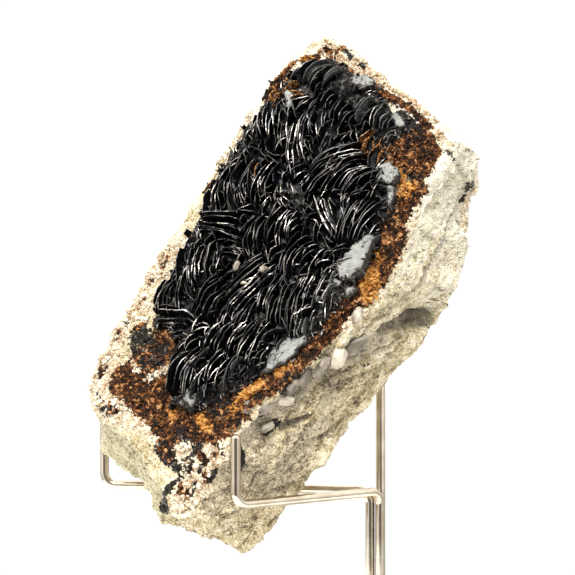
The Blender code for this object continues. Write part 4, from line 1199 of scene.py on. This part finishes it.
def bentWire(name, corners, material, node):
    radius = stand["wire"] / 2 * mm
    route = [(place, 1.0) for place in roundedRoute(corners)]
    tip, towards = route.pop()[0], (corners[-1] - corners[-2]).normalized()
    for share in (1.0, 0.8, 0.6, 0.42, 0.27, 0.15, 0.06, 0.01):
        route.append((tip - towards * radius * share, math.sqrt(1 - (1 - share) ** 2)))
    curve = bpy.data.curves.new(name, "CURVE")
    curve.dimensions = "3D"
    curve.bevel_depth = radius
    curve.bevel_resolution = 7
    curve.use_fill_caps = True
    spline = curve.splines.new("POLY")
    spline.points.add(len(route) - 1)
    for point, (place, width) in zip(spline.points, route):
        point.co = (*place, 1.0)
        point.radius = width
    helper = bpy.data.objects.new("helper", curve)
    bpy.context.scene.collection.objects.link(helper)
    graph = bpy.context.evaluated_depsgraph_get()
    mesh = bpy.data.meshes.new_from_object(helper.evaluated_get(graph), depsgraph=graph)
    bpy.data.objects.remove(helper)
    bm = bmesh.new()
    bm.from_mesh(mesh)
    bmesh.ops.remove_doubles(bm, verts=bm.verts, dist=1e-6)
    bmesh.ops.recalc_face_normals(bm, faces=bm.faces)
    bm.to_mesh(mesh)
    bm.free()
    return finished(name, mesh, material, [node], 60)


base = {
    "radius": 41.0, "thickness": 6.0, "chamfer": 1.0,
    "collarRadius": 6.5, "collarHeight": 5.0, "socketRadius": 3.7, "socketFloor": 3.0,
    "sides": 128,
}


def turnedBase(material):
    columns = [Vector(stand[side + "Column"]) for side in ("right", "left", "back")]
    collar = sum(columns, Vector((0, 0))) / 3
    disc = Vector(block["baseCentre"])
    top, chamfer, tall = base["thickness"], base["chamfer"], base["collarHeight"]
    outer, inner, hole = base["radius"], base["collarRadius"], base["socketRadius"]
    rings = [(0.0, outer - chamfer, disc), (0.35 * chamfer, outer - 0.3 * chamfer, disc), (chamfer, outer, disc)]
    for step in range(5):
        angle = math.pi / 2 * step / 4
        rings.append((top - chamfer + chamfer * math.sin(angle), outer - chamfer + chamfer * math.cos(angle), disc))
    rings += [(top, inner + 0.9, collar), (top + 0.15, inner + 0.35, collar), (top + 0.5, inner, collar)]
    for step in range(4):
        angle = math.pi / 2 * step / 3
        rings.append((top + tall - 0.6 + 0.6 * math.sin(angle), inner - 0.6 + 0.6 * math.cos(angle), collar))
    rings += [(top + tall, hole + 0.2, collar), (top + tall - 0.2, hole, collar), (base["socketFloor"], hole, collar)]
    bm = bmesh.new()
    loops = []
    for height, radius, centre in rings:
        loop = []
        for step in range(base["sides"]):
            angle = 2 * math.pi * step / base["sides"]
            spot = centre + Vector((math.cos(angle), math.sin(angle))) * radius
            loop.append(bm.verts.new(Vector((spot.x, spot.y, height)) * mm + shift))
        loops.append(loop)
    for lower, upper in zip(loops, loops[1:]):
        for i in range(base["sides"]):
            j = (i + 1) % base["sides"]
            bm.faces.new((lower[i], lower[j], upper[j], upper[i]))
    bm.faces.new(loops[0])
    bm.faces.new(loops[-1])
    bmesh.ops.recalc_face_normals(bm, faces=bm.faces)
    mesh = bpy.data.meshes.new("turnedBase")
    bm.to_mesh(mesh)
    bm.free()
    return finished("turnedBase", mesh, material, ["stand_base"], 30)


# Everything put together

wires = wireCorners()
stoneFinish = rockFinish()
stone = rockMesh(wires)
grains = grainShape()
rustColours = [
    (0.012, 0.009, 0.008), (0.028, 0.014, 0.009), (0.060, 0.025, 0.012), (0.12, 0.045, 0.016), (0.20, 0.075, 0.024),
    (0.30, 0.122, 0.038), (0.42, 0.200, 0.074), (0.56, 0.36, 0.19)]
ochreColours = [
    (0.06, 0.022, 0.008), (0.20, 0.070, 0.014), (0.42, 0.150, 0.022), (0.57, 0.25, 0.045), (0.67, 0.39, 0.13)]
paleColours = [
    (0.42, 0.29, 0.18), (0.75, 0.63, 0.47), (0.84, 0.765, 0.61), (0.88, 0.825, 0.685), (0.91, 0.87, 0.75),
    (0.92, 0.89, 0.79), (0.94, 0.92, 0.86)]
sootAndUnderShadowColours = [(0.010, 0.009, 0.009), (0.022, 0.018, 0.017), (0.05, 0.042, 0.040), (0.16, 0.15, 0.145)]
crumbColours = [
    (0.010, 0.010, 0.011), (0.024, 0.022, 0.022), (0.045, 0.040, 0.038), (0.08, 0.055, 0.035), (0.14, 0.135, 0.13),
    (0.26, 0.26, 0.25)]
scatter = {
    # zone on the rock, grains on a square millimetre, sizes, seed, colours, roughness,
    # how far their tones spread, and how far the tones go together in blotches
    "rustGrains": ("rust", 3.2, (0.38, 1.55), 3, rustColours, 0.88, 0.34, 2.2),
    "paleGrains": ("pink", 3.6, (0.35, 1.55), 5, paleColours, 0.8, 0.50, 1.0),
    # black grains on the soot, and also in the painted shadow just below the quartz crystals
    "sootGrains": ("soot", 2.4, (0.30, 1.4), 9, sootAndUnderShadowColours, 0.45, 0.75, 1.6),
}
scatteredMeshes = {}
scatterFinishes = {}
for name, (zone, perArea, sizes, seed, colours, rough, spread, blotchy) in scatter.items():
    scatterFinishes[name] = grainFinish(name + "Finish", colours, rough, spread, blotchy,
                                        0.30 if zone == "rust" else 0.50, ochreColours if zone == "rust" else None,
                                        0.20 if zone == "pink" else 0.0)
    scatteredMeshes[name] = scattered(stone, grains, zone, perArea, sizes, seed, scatterFinishes[name])
    scatteredMeshes[name].transform(toWorld)
stone.transform(toWorld)
finished("matrixRock", stone, stoneFinish, ["matrix_rock"], 60)
for name, mesh in scatteredMeshes.items():
    finished(name, mesh, scatterFinishes[name], None, 25)

ground, flakeSlabs = groundMesh(), flakeMeshes()
crumbFinish = grainFinish("edgeCrumbsFinish", crumbColours, 0.6, 0.6, 1.8, 0.0)
edgeCrumbs = scattered(joined("edges", [mesh.copy() for mesh in (ground, *flakeSlabs)]), grains, "edge", 2.6, (0.35, 1.3), 12, crumbFinish)
finished("edgeCrumbs", edgeCrumbs, crumbFinish, None, 25)

chance = random.Random(plates["seed"])
black = hematiteFinish()
shape = plateShape()
rows = plateRows(chance)
big = grown(guideOf(rows, chance, plates["thick"]), shape, {
    "Columns": 8, "Rows": 4, "Root": plates["root"] * mm, "Material": black})
crumbs = crumbRows(chance, 900)
small = grown(guideOf(crumbs, chance, 0.5), shape, {
    "Columns": 3, "Rows": 3, "Root": plates["root"] * mm, "Ragged": 0.35, "Warp": 0.0003, "Material": black})
print("stage:", len(rows), "plates,", len(crumbs), "crumbs")
finished("hematiteCrystals", joined("hematite", [big, small, ground]), black,
         ["hematite_crystals"], 42)

finished("greyFlakes", joined("flakes", flakeSlabs), flakeFinish(), None, 25)
finished("quartzLumps", quartzMesh(random.Random(4)), quartzFinish(), None, 12)

nickel = wireFinish()
for name, node in (("leftArmWire", "left_arm_wire"), ("rightArmWire", "right_arm_wire"),
                   ("backRestWire", "back_rest_wire")):
    bentWire(name, wires[name], nickel, node)
turnedBase(baseFinish())


# Floor, light and camera

studio = {
    "floorRadius": 0.15,
    "floorTone": 0.90,
    "floorGlow": 0.26,
    "worldFrom": (-0.12, -0.25, 0.95),    # where the soft light is strongest
    "worldLow": 0.42,
    "worldHigh": 2.10,
    "worldTint": (1.0, 0.955, 0.88),
    "keyTint": (1.0, 0.95, 0.87),
    "darkBehindCamera": 0.15,
    "keyPower": 12.0,
    "keyPlace": (-0.22, -0.70, 0.95),
    "keySize": 0.35,
    "cameraPlace": (0.0, -500.0, 104.0),
    "lens": 36 * 1850 / 575,
}


def studioFloor():
    mesh = bpy.data.meshes.new("floor")
    angles = [2 * math.pi * i / 96 for i in range(96)]
    corners = [(math.cos(a) * studio["floorRadius"], math.sin(a) * studio["floorRadius"], 0) for a in angles]
    mesh.from_pydata(corners, [], [tuple(range(96))])
    material, tree, shader, place = newFinish("palePaper")
    tone = studio["floorTone"]
    feed(shader, Base_Color=(tone, tone, tone, 1.0), Roughness=0.9, Specular_IOR_Level=0.1,
         Emission_Color=(1.0, 1.0, 1.0, 1.0), Emission_Strength=studio["floorGlow"])
    mesh.materials.append(material)
    floor = bpy.data.objects.new("floor", mesh)
    bpy.context.scene.collection.objects.link(floor)


def studioWorld():
    world = bpy.data.worlds.new("softLight")
    bpy.context.scene.world = world
    world.use_nodes = True
    tree = world.node_tree
    away = Flow.add(tree, "ShaderNodeTexCoord", out="Generated")
    lit = Flow.add(tree, "ShaderNodeVectorMath", {"operation": "DOT_PRODUCT"},
                   {0: away, 1: Vector(studio["worldFrom"]).normalized()}, out="Value").band(-0.7, 0.9)
    behind = (away.part(1) * -1.0).band(0.70, 0.95)
    seen = Flow.add(tree, "ShaderNodeLightPath", out="Is Camera Ray")
    strength = lit * (studio["worldHigh"] - studio["worldLow"]) + studio["worldLow"]
    strength = strength * (1 - behind * (1 - studio["darkBehindCamera"]))
    strength = strength * (1 - seen) + seen * 1.05
    background = tree.nodes["Background"]
    tree.links.new(seen.between(studio["worldTint"], (1.0, 1.0, 1.0)).socket, background.inputs["Color"])
    tree.links.new(strength.socket, background.inputs["Strength"])


def studioLights():
    light = bpy.data.lights.new("key", "AREA")
    light.energy = studio["keyPower"]
    light.size = studio["keySize"]
    light.color = studio["keyTint"]
    lamp = bpy.data.objects.new("key", light)
    lamp.location = studio["keyPlace"]
    towards = Vector((0, 0, 0.11)) - lamp.location
    lamp.rotation_euler = towards.to_track_quat("-Z", "Y").to_euler()
    bpy.context.scene.collection.objects.link(lamp)


def studioCamera():
    camera = bpy.data.cameras.new("camera")
    camera.sensor_width = 36
    camera.lens = studio["lens"]
    camera.clip_start = 0.02
    camera.clip_end = 200
    eye = bpy.data.objects.new("camera", camera)
    eye.location = Vector(studio["cameraPlace"]) * mm + shift
    eye.rotation_euler = Euler((math.radians(90), 0, 0))
    bpy.context.scene.collection.objects.link(eye)
    bpy.context.scene.camera = eye


studioFloor()
studioWorld()
studioLights()
studioCamera()
bpy.context.scene.view_settings.view_transform = "Standard"
print("stage: studio ready")
